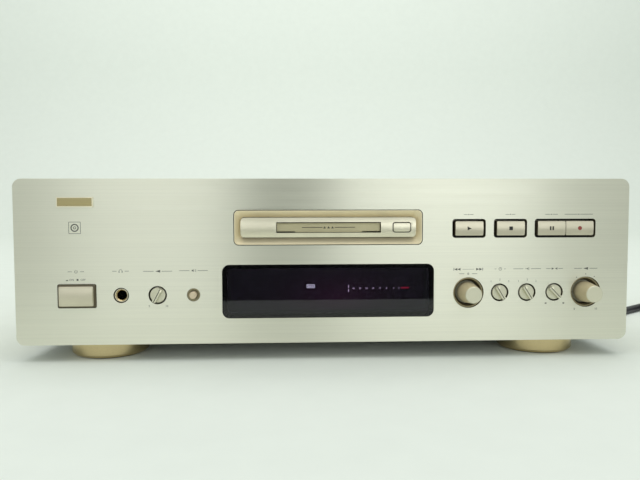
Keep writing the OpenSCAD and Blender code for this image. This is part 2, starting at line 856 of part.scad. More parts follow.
module monitor_button() {
    color("#CDB699") turned(monitor_at, row_z) polygon([
        [0, -(front_board_depth - switch_h - monitor_travel - slack)],
        [stem_r, -(front_board_depth - switch_h - monitor_travel - slack)],
        [stem_r, -frame_back - slack - flange_t],
        [monitor_r + flange_out, -frame_back - slack - flange_t],
        [monitor_r + flange_out, -frame_back - slack], [monitor_r, -frame_back - slack],
        [monitor_r, monitor_proud - 0.4], [monitor_r - 0.4, monitor_proud], [0, monitor_proud]
    ]);
}

module monitor_collar() {
    color("#8E8470") turned(monitor_at, row_z) polygon([
        [monitor_r + slack, -frame_front], [monitor_r + slack, -1.8],
        [monitor_hole_r - 0.3, -0.5], [monitor_hole_r - 0.1, -0.5],
        [monitor_hole_r - 0.1, -frame_front]
    ]);
}

// A large knob: a tapered cap with a blind bore for its shaft
module large_knob(x) {
    turned(x, row_z) polygon([
        [spindle_r + 0.05, -knob_foot], [knob_root_r + knob_lip, -knob_foot],
        [knob_root_r + knob_lip, -knob_foot + 1.5], [knob_root_r, -knob_foot + 2.3],
        [knob_root_r, 0], [knob_tip_r, knob_proud - 0.6], [knob_tip_r - 0.6, knob_proud],
        [0, knob_proud], [0, 7], [spindle_r + 0.05, 7]
    ]);
}

module select_knob() { color("#D2CBB0") large_knob(select_at); }
module input_level_knob() { color("#D2CBB0") large_knob(level_at); }
module select_shaft() { color("#B8B8B0") round_bar(select_at, row_z, spindle_r, -7, shaft_end); }
module level_shaft() { color("#B8B8B0") round_bar(level_at, row_z, spindle_r, -7, shaft_end); }

module select_plunger() {
    color("#E4E0D4") round_bar(select_at, row_z, spindle_r, shaft_end + push_gap,
                               shaft_end + push_gap + push_disc_t);
}

module rotary_controls() {
    color("#4A4A44") {
        for (x = small_controls) difference() {
            block(x, row_z, body_w, body_w + 2, body_depth, front_board_depth);
            round_bar(x, row_z, spindle_r + run_gap, body_depth - over, spindle_end + slack);
        }
        difference() {
            block(select_at, row_z, large_body_w, large_body_w, body_depth, front_board_depth);
            round_bar(select_at, row_z, spindle_r + run_gap, body_depth - over,
                      shaft_end + push_gap + push_disc_t + push_travel + slack);
        }
        difference() {
            block(level_at, row_z, large_body_w, large_body_w, body_depth, front_board_depth);
            round_bar(level_at, row_z, spindle_r + run_gap, body_depth - over,
                      shaft_end + slack);
        }
    }
}

module name_plate() {
    color("#C0A862") plate(power_at - 0.1, panel_top - 16.2, 25, 7.1, 0.6, -0.8, 0);
}

module top_cover() {
    color("#C3BFA6") difference() {
        union() {
            difference() {
                box([-cover_w / 2, panel_t, pan_z], [cover_w / 2, deck_d, cover_top]);
                box([-inner_w / 2, panel_t - over, pan_z - over],
                    [inner_w / 2, deck_d + over, cover_top - cover_t]);
            }
            box([-inner_w / 2, deck_d - sheet_t - cover_t, cover_top - cover_t - rear_lip_h],
                [inner_w / 2, deck_d - sheet_t, cover_top - cover_t / 2]);
        }
        for (row = vent_rows, i = [0 : vent_count - 1])
            box([transformer_x + (i - vent_count / 2) * vent_pitch, row,
                 cover_top - 2 * cover_t],
                [transformer_x + (i - vent_count / 2) * vent_pitch + vent_w, row + vent_l,
                 cover_top + over]);
        for (d = side_screw_depths)
            cross_bar(-deck_w / 2, deck_w / 2, d, side_screw_z, screw_hole_r);
        for (x = rear_screw_xs)
            round_bar(x, rear_screw_z, screw_hole_r, deck_d - 5, deck_d + over);
    }
}

// A screw with a flat head and a cross cut in it, pointing along -Z
module screw(shank) {
    difference() {
        cylinder(r = screw_head_r, h = screw_head_h);
        translate([-2.2, -0.4, 0.7]) cube([4.4, 0.8, 2]);
        translate([-0.4, -2.2, 0.7]) cube([0.8, 4.4, 2]);
    }
    translate([0, 0, -shank]) cylinder(r = screw_r, h = shank);
}

module cover_screws() {
    color("#B0A98C") {
        for (side = [-1, 1], d = side_screw_depths)
            translate([side * cover_w / 2, face_y + d, side_screw_z])
                rotate([0, side * 90, 0]) screw(6);
        for (x = rear_screw_xs)
            translate([x, back_y, rear_screw_z]) rotate([-90, 0, 0]) screw(6);
    }
}

module chassis_pan() {
    half = inner_w / 2;
    color("#A9A9A0") difference() {
        union() {
            box([-half, frame_back, pan_z], [half, deck_d, pan_top]);
            for (side = [-1, 1])
                translate([side * (half - sheet_t / 2) - sheet_t / 2, face_y + frame_back, pan_z])
                    cube([sheet_t, deck_d - sheet_t - frame_back, pan_wall_h]);
            box([-half, frame_back, pan_z], [half, frame_back + sheet_t, pan_z + pan_front_h]);
        }
        for (d = side_screw_depths)
            cross_bar(-deck_w / 2, deck_w / 2, d, side_screw_z, screw_hole_r);
    }
}

module rear_panel() {
    half = inner_w / 2;
    color("#B4B09A") difference() {
        box([-half, deck_d - sheet_t, pan_top], [half, deck_d, cover_top - cover_t]);
        for (x = [0, 1], z = [0, 1])
            round_bar(phono_x + x * phono_pitch, phono_low_z + z * phono_pitch,
                      phono_r + sheet_gap, deck_d - 5, deck_d + over);
        round_bar(coax_x, phono_low_z, phono_r + sheet_gap, deck_d - 5, deck_d + over);
        for (z = [0, 1])
            block(optical_x, phono_low_z + z * phono_pitch, optical_w + sheet_gap, optical_h + sheet_gap,
                  deck_d - 5, deck_d + over);
        round_bar(gland_x, gland_z, gland_hole_r, deck_d - 5, deck_d + over);
        for (x = rear_screw_xs)
            round_bar(x, rear_screw_z, screw_hole_r, deck_d - 5, deck_d + over);
    }
}

module feet() {
    color("#B89B4E") for (place = foot_places)
        translate([place[0], face_y + place[1], 0]) difference() {
            rotate_extrude() polygon([
                [0, foot_pad_h], [foot_r - 1.6, foot_pad_h], [foot_r, foot_pad_h + 1.8],
                [foot_r, foot_rim_top], [foot_neck_r, foot_rim_top], [foot_neck_r, foot_top],
                [0, foot_top]
            ]);
            rotate_extrude() polygon([
                [foot_pad_in, 0], [foot_pad_out, 0], [foot_pad_out, foot_pad_h + foot_groove],
                [foot_pad_in, foot_pad_h + foot_groove]
            ]);
            cylinder(r = foot_pad_in - 2.5, h = foot_top - 5);
        }
}

module foot_pads() {
    color("#2A2826") for (place = foot_places)
        translate([place[0], face_y + place[1], 0]) difference() {
            cylinder(r = foot_pad_out - foot_pad_gap, h = foot_pad_h + foot_groove);
            translate([0, 0, -over])
                cylinder(r = foot_pad_in + foot_pad_gap, h = foot_pad_h + foot_groove + 2 * over);
        }
}

module mech_stands() {
    color("#9A9A90") for (place = stand_places)
        translate([place[0], face_y + place[1], pan_top])
            cylinder(r = stand_r, h = mech_base_z - damper_h - pan_top);
}

module mech_dampers() {
    color("#33302C") for (place = stand_places)
        translate([place[0], face_y + place[1], mech_base_z - damper_h])
            cylinder(r = damper_r, h = damper_h);
}

module mech_frame() {
    color("#A8A8A4") difference() {
        union() {
            box([mech_x - mech_half_w, mech_front, mech_base_z],
                [mech_x + mech_half_w, mech_back, mech_base_z + mech_t]);
            for (x0 = [-mech_half_w, mech_half_w - mech_t])
                box([mech_x + x0, mech_front, mech_base_z],
                    [mech_x + x0 + mech_t, mech_back, mech_wall_top]);
            for (d = [cross_wall_front, cross_wall_back])
                box([mech_x - rod_x - 5, d - 1, mech_base_z + mech_t / 2],
                    [mech_x + rod_x + 5, d + 1, cross_wall_top]);
        }
        for (d = cam_pins)
            cross_slot(mech_x - mech_half_w - over, mech_x + mech_half_w + over,
                       [d, cam_pin_z], [d, cam_pin_z - holder_drop], cam_pin_r + cam_gap);
        for (x = [-rod_x, rod_x])
            round_bar(mech_x + x, rod_z, rod_r + 0.02, cross_wall_front - 2,
                      cross_wall_back + 2);
        round_bar(mech_x + screw_x, screw_z, screw_rr + run_gap, cross_wall_front - 2,
                  cross_wall_back + 2);
    }
}

module cartridge_holder() {
    half = holder_in_w / 2;
    wall = holder_half_w;
    color("#B9B9B4") {
        difference() {
            box([mech_x - wall, holder_front, holder_low - holder_t],
                [mech_x + wall, holder_back, holder_low + holder_in_h + holder_t]);
            box([mech_x - half, holder_front - over, holder_low],
                [mech_x + half, holder_back + over, holder_low + holder_in_h]);
            box([mech_x - hub_window_half, hub_depth - 12, holder_low - 2],
                [mech_x + hub_window_half, holder_back + over, holder_low + over]);
            box([mech_x - hub_window_half, hub_depth + 8, holder_low + holder_in_h - over],
                [mech_x + hub_window_half, holder_back + over,
                 holder_low + holder_in_h + holder_t + over]);
        }
        for (d = cam_pins, side = [0, 1]) {
            x0 = side ? mech_x + wall : mech_x - mech_half_w - 1;
            x1 = side ? mech_x + mech_half_w + 1 : mech_x - wall;
            cross_bar(x0, x1, d, cam_pin_z, cam_pin_r);
        }
    }
}

// Angle of tooth i; half a pitch turns a tooth space towards the rack
function tooth_angle(i) = (i + 0.5) * 360 / gear_teeth;

module loading_slider() {
    tooth_pitch = PI * gear_module;
    color("#D8D4C4") difference() {
        union() {
            box([mech_x + slider_x, slider_front, slider_low],
                [mech_x + slider_x + slider_t, slider_back, slider_top]);
            for (i = [0 : rack_teeth - 1])
                translate([mech_x + slider_x,
                           face_y + gear_depth + (i - rack_teeth + 3) * tooth_pitch,
                           slider_low - 1.8 * gear_module])
                    rotate([90, 0, 90]) linear_extrude(slider_t) polygon([
                        [-0.25 * gear_module, 0], [0.25 * gear_module, 0],
                        [0.7 * gear_module, 1.9 * gear_module],
                        [-0.7 * gear_module, 1.9 * gear_module]
                    ]);
        }
        for (d = cam_pins)
            cross_slot(mech_x + slider_x - over, mech_x + slider_x + slider_t + over,
                       [d, cam_pin_z], [d - slider_travel, cam_pin_z - holder_drop],
                       cam_pin_r + cam_gap);
    }
}

module loading_gear() {
    half_root = 66 / gear_teeth;
    half_tip = 21.6 / gear_teeth;
    root_r = gear_r - 1.3 * gear_module;
    tip_r = gear_tip_r;
    color("#E8E4D8") translate([mech_x + slider_x, face_y + gear_depth, gear_z])
        rotate([0, 90, 0]) difference() {
            union() {
                cylinder(r = root_r, h = slider_t);
                for (i = [0 : gear_teeth - 1]) rotate([0, 0, tooth_angle(i)])
                    linear_extrude(slider_t) polygon([
                        [root_r - 0.5, -root_r * sin(half_root)],
                        [tip_r, -tip_r * sin(half_tip)], [tip_r, tip_r * sin(half_tip)],
                        [root_r - 0.5, root_r * sin(half_root)]
                    ]);
            }
            translate([0, 0, -over]) cylinder(r = gear_bore_r + run_gap, h = slider_t + 2 * over);
        }
}

module loading_motor() {
    color("#8C8C86") {
        cross_bar(mech_x + slider_x - 13, mech_x + slider_x - 4, gear_depth, gear_z,
                  loading_motor_r);
        cross_bar(mech_x + slider_x - 4, mech_x + slider_x + slider_t, gear_depth, gear_z,
                  gear_bore_r);
        box([mech_x + slider_x - 12, gear_depth - 4, mech_floor],
            [mech_x + slider_x - 5, gear_depth + 4, gear_z - 3]);
    }
}

module spindle_motor() {
    color("#9A9A94") translate([mech_x, face_y + hub_depth, mech_floor]) {
        cylinder(r = spindle_motor_r, h = spindle_motor_h);
        cylinder(r = spindle_shaft_r, h = turntable_z + hub_h - 2 - mech_floor);
    }
}

module turntable() {
    color("#3C3A38") translate([mech_x, face_y + hub_depth, turntable_z]) difference() {
        union() {
            cylinder(r = turntable_r, h = turntable_t);
            cylinder(r = hub_r, h = hub_h);
        }
        translate([0, 0, -over])
            cylinder(r = spindle_shaft_r + run_gap, h = over + hub_h - 2 + slack);
    }
}

module pickup() {
    color("#5A5A58") {
        difference() {
            box([mech_x - rod_x + 4, pickup_depth - pickup_half, pickup_low],
                [mech_x + rod_x + 4, pickup_depth + pickup_half, pickup_top]);
            round_bar(mech_x + rod_x, rod_z, rod_r + run_gap, 0, deck_d);
            round_bar(mech_x + screw_x, screw_z, screw_rr + run_gap, 0, deck_d);
        }
        difference() {
            box([mech_x - rod_x - 3, pickup_depth - pickup_half, rod_z - 3],
                [mech_x - rod_x + 4, pickup_depth + pickup_half, rod_z + 3]);
            box([mech_x - rod_x - 4, 0, rod_z - rod_r - run_gap],
                [mech_x - rod_x + 2, deck_d, rod_z + rod_r + run_gap]);
        }
        translate([mech_x, face_y + pickup_depth, pickup_top]) cylinder(r = lens_r, h = lens_h);
        box([mech_x - bracket_half_w, pickup_depth + lens_r + 1, pickup_top],
            [mech_x + bracket_half_w, bracket_depth + bracket_t, pickup_top + bracket_t]);
        difference() {
            box([mech_x - bracket_half_w - 1.5, bracket_depth, pickup_top + bracket_t],
                [mech_x + bracket_half_w + 1.5, bracket_depth + bracket_l, arm_pivot_z + 2]);
            box([mech_x - bracket_half_w + 0.5, bracket_depth - over, arm_pivot_z - 5],
                [mech_x + bracket_half_w - 0.5, bracket_depth + bracket_l + over, arm_pivot_z + 3]);
            box([mech_x - bracket_half_w - 2, bracket_depth + bracket_t, pickup_top],
                [mech_x + bracket_half_w + 2, bracket_depth + bracket_l + over, arm_pivot_z - 5]);
            cross_bar(mech_x - 8, mech_x + 8, bracket_depth + bracket_l / 2, arm_pivot_z,
                      arm_pivot_r + run_gap);
        }
    }
}

module guide_rods() {
    color("#C8C8C4") for (x = [-rod_x, rod_x])
        round_bar(mech_x + x, rod_z, rod_r, cross_wall_front - 1, cross_wall_back + 1);
}

module lead_screw() {
    color("#B8B8B0") round_bar(mech_x + screw_x, screw_z, screw_rr, cross_wall_front - 1,
                               cross_wall_back + 1 + slack);
}

module sled_motor() {
    color("#8C8C86") {
        round_bar(mech_x + screw_x, screw_z, sled_motor_r, cross_wall_back + 1 + 2 * slack,
                  cross_wall_back + 1 + sled_motor_l);
        box([mech_x + screw_x - 4, cross_wall_back + 2, mech_floor],
            [mech_x + screw_x + 4, cross_wall_back + sled_motor_l, screw_z - 3]);
    }
}

module head_arm() {
    pivot_depth = bracket_depth + bracket_l / 2;
    color("#C4C4BE") {
        cross_bar(mech_x - bracket_half_w - 1.5, mech_x + bracket_half_w + 1.5, pivot_depth,
                  arm_pivot_z, arm_pivot_r);
        box([mech_x - arm_half_w, pickup_depth - 4, arm_pivot_z - arm_t / 2],
            [mech_x + arm_half_w, pivot_depth + 1.5, arm_pivot_z + arm_t / 2]);
        box([mech_x - head_half, pickup_depth - 3, arm_pivot_z - arm_t / 2 - 2],
            [mech_x + head_half, pickup_depth + 3, arm_pivot_z - arm_t / 2]);
    }
}

// The four fixing points of a board, each in from its corner
function board_holes(low, high) = [
    for (x = [low[0] + board_hole_in, high[0] - board_hole_in],
         d = [low[1] + board_hole_in, high[1] - board_hole_in]) [x, d]
];

module board(low, high) {
    difference() {
        box([low[0], low[1], board_z], [high[0], high[1], board_top]);
        for (p = board_holes(low, high))
            translate([p[0], face_y + p[1], board_z - over])
                cylinder(r = standoff_r / 2, h = board_t + 2 * over);
    }
}

module standoffs(low, high) {
    for (p = board_holes(low, high)) translate([p[0], face_y + p[1], pan_top])
        cylinder(r = standoff_r, h = board_z - pan_top);
}

// A part on a board: its corner from the board's corner, then width, length, height
module chip(at, place) {
    box([at[0] + place[0], at[1] + place[1], board_seat],
        [at[0] + place[0] + place[2], at[1] + place[1] + place[3], board_top + place[4]]);
}

module main_board() {
    chips = [[86, 40, 28, 28, 3], [136, 40, 18, 18, 3], [136, 76, 26, 10, 4],
             [186, 50, 24, 24, 3]];
    color("#2E5A3A") board(main_board_at, main_board_end);
    color("#A9A9A0") standoffs(main_board_at, main_board_end);
    color("#26241F") for (place = chips) chip(main_board_at, place);
    color("#3A4A6A") for (i = [0 : 5])
        translate([main_board_at[0] + 26 + 14 * i, face_y + main_board_end[1] - 46, board_seat])
            cylinder(r = 4, h = 15);
}

module power_board() {
    x = power_board_at[0];
    d = power_board_at[1];
    end = [x + power_board_w, d + power_board_l];
    color("#8A6A3A") board(power_board_at, end);
    color("#A9A9A0") standoffs(power_board_at, end);
    color("#26241F") for (i = [0 : 2])
        translate([x + 30 + 24 * i, face_y + d + 50, board_seat])
            cylinder(r = capacitor_r, h = capacitor_h);
    color("#3C3C3A") {
        box([x + 14, d + 18, board_seat], [x + 14 + heat_sink_w, d + 20, board_top + heat_sink_h]);
        for (i = [0 : fin_count - 1])
            box([x + 18 + fin_pitch * i, d + 18 - fin_l, board_seat],
                [x + 20 + fin_pitch * i, d + 18.5, board_top + heat_sink_h]);
    }
}

module transformer() {
    x = transformer_x;
    d = transformer_depth;
    low = pan_top + window_in;
    high = pan_top + transformer_h - window_in;
    color("#6E6A62") difference() {
        box([x - transformer_w / 2, d - transformer_l / 2, pan_top],
            [x + transformer_w / 2, d + transformer_l / 2, pan_top + transformer_h]);
        for (side = [-1, 1])
            box([x + side * 17 - window_in / 2, d - transformer_l / 2 - over, low],
                [x + side * 17 + window_in / 2, d + transformer_l / 2 + over, high]);
    }
    color("#B08A3C") for (side = [-1, 1])
        box([x + side * 17 - winding_w / 2, d - winding_l / 2, low + 0.2],
            [x + side * 17 + winding_w / 2, d + winding_l / 2, high - 0.2]);
}

// A phono socket: a plated shell with a flange and a centre bore
module phono_socket(x, z) {
    difference() {
        union() {
            round_bar(x, z, phono_r, deck_d - sheet_t, deck_d + phono_proud);
            round_bar(x, z, phono_flange_r, deck_d, deck_d + 1.2);
        }
        round_bar(x, z, phono_bore_r, deck_d + phono_proud - 9, deck_d + phono_proud + over);
    }
}

module rear_jacks() {
    mid_z = phono_low_z + phono_pitch / 2;
    inner = deck_d - sheet_t;
    color("#C8AE58") {
        for (x = [0, 1], z = [0, 1])
            phono_socket(phono_x + x * phono_pitch, phono_low_z + z * phono_pitch);
        phono_socket(coax_x, phono_low_z);
    }
    color("#1C1B19") {
        box([phono_x - jack_margin, inner - jack_body_l, board_top],
            [phono_x + phono_pitch + jack_margin, inner, mid_z + phono_pitch / 2 + jack_margin]);
        box([coax_x - jack_margin + 2, inner - jack_body_l, board_top],
            [coax_x + jack_margin - 2, inner, phono_low_z + jack_margin]);
        for (z = [0, 1])
            block(optical_x, phono_low_z + z * phono_pitch, optical_w, optical_h, inner,
                  deck_d + 1);
        box([optical_x - jack_margin, inner - jack_body_l, board_top],
            [optical_x + jack_margin, inner, mid_z + phono_pitch / 2 + jack_margin]);
    }
}

module cord_bushing() {
    color("#1E1E20") translate([gland_x, back_y, gland_z]) rotate([-90, 0, 0])
        rotate_extrude() polygon([
            [0, -sheet_t - 3], [gland_hole_r + 1.5, -sheet_t - 3],
            [gland_hole_r + 1.5, -sheet_t], [gland_hole_r - 0.2, -sheet_t],
            [gland_hole_r - 0.2, 0], [gland_hole_r + 2, 0], [gland_hole_r + 2, 2],
            [gland_r, 2.5], [cord_r + 1.2, gland_l], [0, gland_l]
        ]);
}

// Unit vector from one point to another
function heading(a, b) = (b - a) / norm(b - a);

// Direction of a path at its point i: the mean of the runs on both sides
function path_way(path, i) =
    let (n = len(path) - 1, a = path[max(i - 1, 0)], b = path[min(i + 1, n)]) heading(a, b);

// A ring of points square to a direction, with one corner straight up
function ring(at, way, r, sides) =
    let (
        flat = [way[1], -way[0], 0],
        side = flat / norm(flat),
        up = cross(side, way)
    )
    [for (k = [0 : sides - 1])
        let (a = 360 * k / sides)
        at + r * (cos(a) * up + sin(a) * side)];

// A solid tube of one thickness along a path; its end rings are square to
// the given directions
module tube(path, r, sides, first_way, last_way) {
    n = len(path);
    ways = [for (i = [0 : n - 1])
        i == 0 ? first_way : i == n - 1 ? last_way : path_way(path, i)];
    points = [for (i = [0 : n - 1]) each ring(path[i], ways[i], r, sides)];
    skin = [for (i = [0 : n - 2], k = [0 : sides - 1])
        let (a = i * sides + k, b = i * sides + (k + 1) % sides)
        each [[a, b, b + sides], [a, b + sides, a + sides]]];
    first_cap = [for (k = [1 : sides - 2]) [0, k + 1, k]];
    last_cap = [for (k = [1 : sides - 2])
        [(n - 1) * sides, (n - 1) * sides + k, (n - 1) * sides + k + 1]];
    polyhedron(points = points, faces = concat(first_cap, skin, last_cap), convexity = 10);
}

// The coil: a spiral in on the floor, a climb in the half turn where it
// reverses, and a spiral out on top. "turn" counts turns from the start.
function coil_r(turn) = coil_out_r - coil_pitch * (coil_turns / 2 - abs(turn - coil_turns / 2));
function coil_z(turn) =
    let (climb = (turn - coil_turns / 2 + 0.25) / 0.5)
    coil_low_z + (coil_high_z - coil_low_z) * min(max(climb, 0), 1);
function coil_point(turn) =
    let (a = 90 + coil_heading - 360 * turn)
    [coil_centre[0] + coil_r(turn) * cos(a), coil_centre[1] + coil_r(turn) * sin(a),
     coil_z(turn)];
coil_steps = round(coil_turns * coil_rings);
coil_curve = [for (i = [0 : coil_steps]) coil_point(i * coil_turns / coil_steps)];
coil_in_way = [cos(coil_heading), sin(coil_heading), 0];
coil_end_angle = 90 + coil_heading - 360 * coil_turns;
coil_out_way = [sin(coil_end_angle), -cos(coil_end_angle), 0];
coil_start = coil_curve[0] - cord_d * coil_in_way;
coil_end = coil_curve[coil_steps] + coil_tail * coil_out_way;
coil_path = concat([coil_start], coil_curve, [coil_end]);

// Least gap of the coil to itself, between points at least half a turn apart
coil_gap = min([for (i = [0 : 2 : len(coil_path) - 1])
    for (j = [i + coil_rings / 2 : len(coil_path) - 1])
        norm(coil_path[i] - coil_path[j])]) - cord_d;
echo(coil_gap = coil_gap);

module power_cord() {
    path = concat([cord_start], cord_route, [coil_start]);
    color("#2B2B2E") tube(path, cord_r, cord_sides, [0, 1, 0], coil_in_way);
}

module power_cord_coil() {
    color("#2B2B2E") tube(coil_path, cord_r, coil_sides, coil_in_way, coil_out_way);
}

// The plug lies on the floor beyond the coil, with its two blades forward
module power_plug() {
    body_h = 2 * coil_high_z;
    nose_end = coil_end + plug_nose_l * coil_out_way;
    turn = atan2(coil_out_way[1], coil_out_way[0]);
    color("#1E1E20") translate([coil_end[0], coil_end[1], coil_high_z]) rotate([0, 0, turn]) {
        hull() {
            rotate([0, 90, 0]) cylinder(r = cord_r + 1, h = 0.5, $fn = 32);
            translate([plug_nose_l, -plug_w / 2 + 3, -body_h / 2 + 3])
                cube([0.5, plug_w - 6, body_h - 6]);
        }
        translate([plug_nose_l + 0.5, 0, 0]) rotate([90, 0, 90])
            linear_extrude(plug_l) rounded_rect(plug_w, body_h, 4);
    }
    color("#B8B8B0") translate([coil_end[0], coil_end[1], coil_high_z]) rotate([0, 0, turn])
        for (side = [-1, 1])
            translate([plug_nose_l + 0.5 + plug_l, side * blade_spacing / 2 - blade_thick / 2,
                       -blade_h / 2])
                cube([blade_l, blade_thick, blade_h]);
}

front_panel();
sub_panel();
loading_bezel();
slot_bar();
slot_flap();
eject_button();
display_window();
display_tube();
front_board();
key_board();
power_button();
power_switch();
phones_ring();
phones_socket();
phones_level_knob();
monitor_button();
monitor_collar();
play_button();
stop_button();
pause_button();
record_button();
timer_knob();
input_select_knob();
balance_knob();
select_knob();
select_shaft();
select_plunger();
input_level_knob();
level_shaft();
rotary_controls();
name_plate();
top_cover();
cover_screws();
chassis_pan();
rear_panel();
feet();
foot_pads();
mech_stands();
mech_dampers();
mech_frame();
cartridge_holder();
loading_slider();
loading_gear();
loading_motor();
spindle_motor();
turntable();
pickup();
guide_rods();
lead_screw();
sled_motor();
head_arm();
main_board();
power_board();
transformer();
rear_jacks();
cord_bushing();
power_cord();
power_cord_coil();
power_plug();
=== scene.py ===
import json
import math

import bpy
from mathutils import Matrix, Vector


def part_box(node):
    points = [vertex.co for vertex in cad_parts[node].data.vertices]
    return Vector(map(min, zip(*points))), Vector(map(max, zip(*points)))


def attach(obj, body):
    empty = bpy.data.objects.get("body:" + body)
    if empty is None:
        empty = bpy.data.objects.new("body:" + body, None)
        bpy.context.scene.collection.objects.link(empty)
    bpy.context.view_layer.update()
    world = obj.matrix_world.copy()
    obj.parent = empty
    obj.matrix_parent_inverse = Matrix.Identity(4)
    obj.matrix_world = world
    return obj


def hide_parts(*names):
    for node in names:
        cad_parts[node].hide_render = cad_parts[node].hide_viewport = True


# The looks of a slot-loading minidisc deck: its finishes, printing, lit display,
# cord and plug. X runs to the right, Y to the rear and Z up, in metres, and sizes
# are written in millimetres times MM.

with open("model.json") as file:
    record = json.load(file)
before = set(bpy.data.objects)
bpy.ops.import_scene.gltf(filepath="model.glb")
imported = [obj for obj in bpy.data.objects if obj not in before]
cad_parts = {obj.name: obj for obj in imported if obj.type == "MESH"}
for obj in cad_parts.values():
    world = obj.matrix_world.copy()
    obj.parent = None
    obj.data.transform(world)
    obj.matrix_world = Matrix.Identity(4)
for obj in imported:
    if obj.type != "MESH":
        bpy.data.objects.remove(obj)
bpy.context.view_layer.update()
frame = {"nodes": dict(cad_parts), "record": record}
record = frame["record"]
nodes = frame["nodes"]

MM = 0.001
SLOT_OF = {part["node"]: part["material_slot"] for part in record["subparts"]}
BODY_OF = {
    node: body for body, members in record["behaviour"]["bodies"].items() for node in members
}
PANEL_LOW, PANEL_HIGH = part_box("front_panel")
FACE = PANEL_LOW.y
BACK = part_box("rear_panel")[1].y


# ---------------------------------------------------------------- shop tools

REARWARD = Vector((0, 1, 0))
UPWARD = Vector((0, 0, 1))


def place_new(name, data):
    """Puts a new object with this data into the scene."""
    obj = bpy.data.objects.new(name, data)
    bpy.context.scene.collection.objects.link(obj)
    return obj


def take(obj):
    """Selects one object alone and makes it the active one."""
    bpy.ops.object.select_all(action="DESELECT")
    obj.select_set(True)
    bpy.context.view_layer.objects.active = obj
    return obj


def settle(obj):
    """Moves an object's place, turn and scale into its mesh."""
    take(obj)
    bpy.ops.object.transform_apply(location=True, rotation=True, scale=True)
    return obj


def new_piece(name):
    """Takes up the primitive that an operator has just made, under its own name."""
    obj = bpy.context.active_object
    obj.name = name
    obj.data.name = name
    return take(obj)


def block(name, at, size):
    """A block with its middle at a place."""
    bpy.ops.mesh.primitive_cube_add(size=1, location=at, scale=size)
    return settle(new_piece(name))


def sheet(name, at, size, turn=(0, 0, 0)):
    """A flat sheet with its middle at a place."""
    bpy.ops.mesh.primitive_plane_add(size=1, location=at, rotation=turn)
    flat = new_piece(name)
    flat.scale = (*size, 1)
    return settle(flat)


def open_whole(obj):
    """Opens edit mode with the whole mesh selected."""
    take(obj)
    bpy.ops.object.mode_set(mode="EDIT")
    bpy.ops.mesh.select_all(action="SELECT")


def pick(obj, kind, chosen):
    """Opens edit mode with only those vertices, edges or faces selected that pass the test."""
    take(obj)
    bpy.ops.object.mode_set(mode="EDIT")
    bpy.ops.mesh.select_mode(type=kind)
    bpy.ops.mesh.select_all(action="DESELECT")
    bpy.ops.object.mode_set(mode="OBJECT")
    parts = {"VERT": obj.data.vertices, "EDGE": obj.data.edges, "FACE": obj.data.polygons}[kind]
    for part in parts:
        part.select = chosen(part)
    bpy.ops.object.mode_set(mode="EDIT")


def close_edit():
    """Leaves edit mode with selection by vertices, as the other tools expect it."""
    bpy.ops.mesh.select_mode(type="VERT")
    bpy.ops.object.mode_set(mode="OBJECT")


def modify(obj, kind, **settings):
    """Adds a modifier and applies it."""
    take(obj)
    modifier = obj.modifiers.new("step", kind)
    for name, value in settings.items():
        setattr(modifier, name, value)
    bpy.ops.object.modifier_apply(modifier=modifier.name)
    return obj


def tidy_mesh(obj):
    """Merges doubles and turns normals outwards."""
    open_whole(obj)
    bpy.ops.mesh.remove_doubles(threshold=0.001 * MM)
    bpy.ops.mesh.normals_make_consistent(inside=False)
    close_edit()
    return obj


def soften(obj, angle):
    """Shades smooth over the edges that turn by less than so many degrees."""
    take(obj)
    bpy.ops.object.shade_smooth_by_angle(angle=math.radians(angle))
    return obj


def round_edges(obj, radius):
    """Rounds the sharp edges, with the flat faces kept flat in the shading."""
    modify(obj, "BEVEL", width=radius, segments=2, limit_method="ANGLE",
           angle_limit=math.radians(30), miter_outer="MITER_ARC")
    soften(obj, 42)
    return modify(obj, "WEIGHTED_NORMAL", mode="FACE_AREA", weight=50, keep_sharp=True)


def join(name, parts):
    """Joins several meshes into one piece."""
    take(parts[0])
    for part in parts[1:]:
        part.select_set(True)
    if len(parts) > 1:
        bpy.ops.object.join()
    return new_piece(name)


def finish_piece(obj, finish, body="root"):
    """Gives a piece its one finish and its body."""
    obj.data.materials.clear()
    obj.data.materials.append(finish)
    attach(obj, body)
    return obj


def score(obj, way, at):
    """Cuts an edge round a piece, square to a way and so far along it."""
    open_whole(obj)
    bpy.ops.mesh.bisect(plane_co=way * at, plane_no=way)
    close_edit()


def stand_in(node, radius):
    """A merged copy of a CAD node with its edges rounded, which stands for the node."""
    mesh = nodes[node].data.copy()
    mesh.name = node + "_skin"
    mesh.materials.clear()
    obj = place_new(mesh.name, mesh)
    tidy_mesh(obj)
    if node in FRONT_SKINS:
        score(obj, REARWARD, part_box(node)[0].y + FRONT_SKINS[node] * MM)
    if node in RESHAPED:
        RESHAPED[node](obj)
    round_edges(obj, radius)
    finish_piece(obj, FINISHES[SLOT_OF[node]], BODY_OF[node])
    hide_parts(node)
    return obj


def add_finish(obj, finish, chosen):
    """Paints the faces whose middle and normal the test accepts with a second finish."""
    obj.data.materials.append(finish)
    index = len(obj.data.materials) - 1
    for face in obj.data.polygons:
        if chosen(face.center, face.normal):
            face.material_index = index


# ---------------------------------------------------------------- camera

FOCAL_PX = 583.45
PHOTO_WIDTH_PX = 640
SENSOR = 36
CAMERA_PLACE = (-0.023155, -0.57238, 0.106256)
CAMERA_YAW = -0.0430
CAMERA_PITCH = -0.0520
CAMERA_ROLL = 0.0020


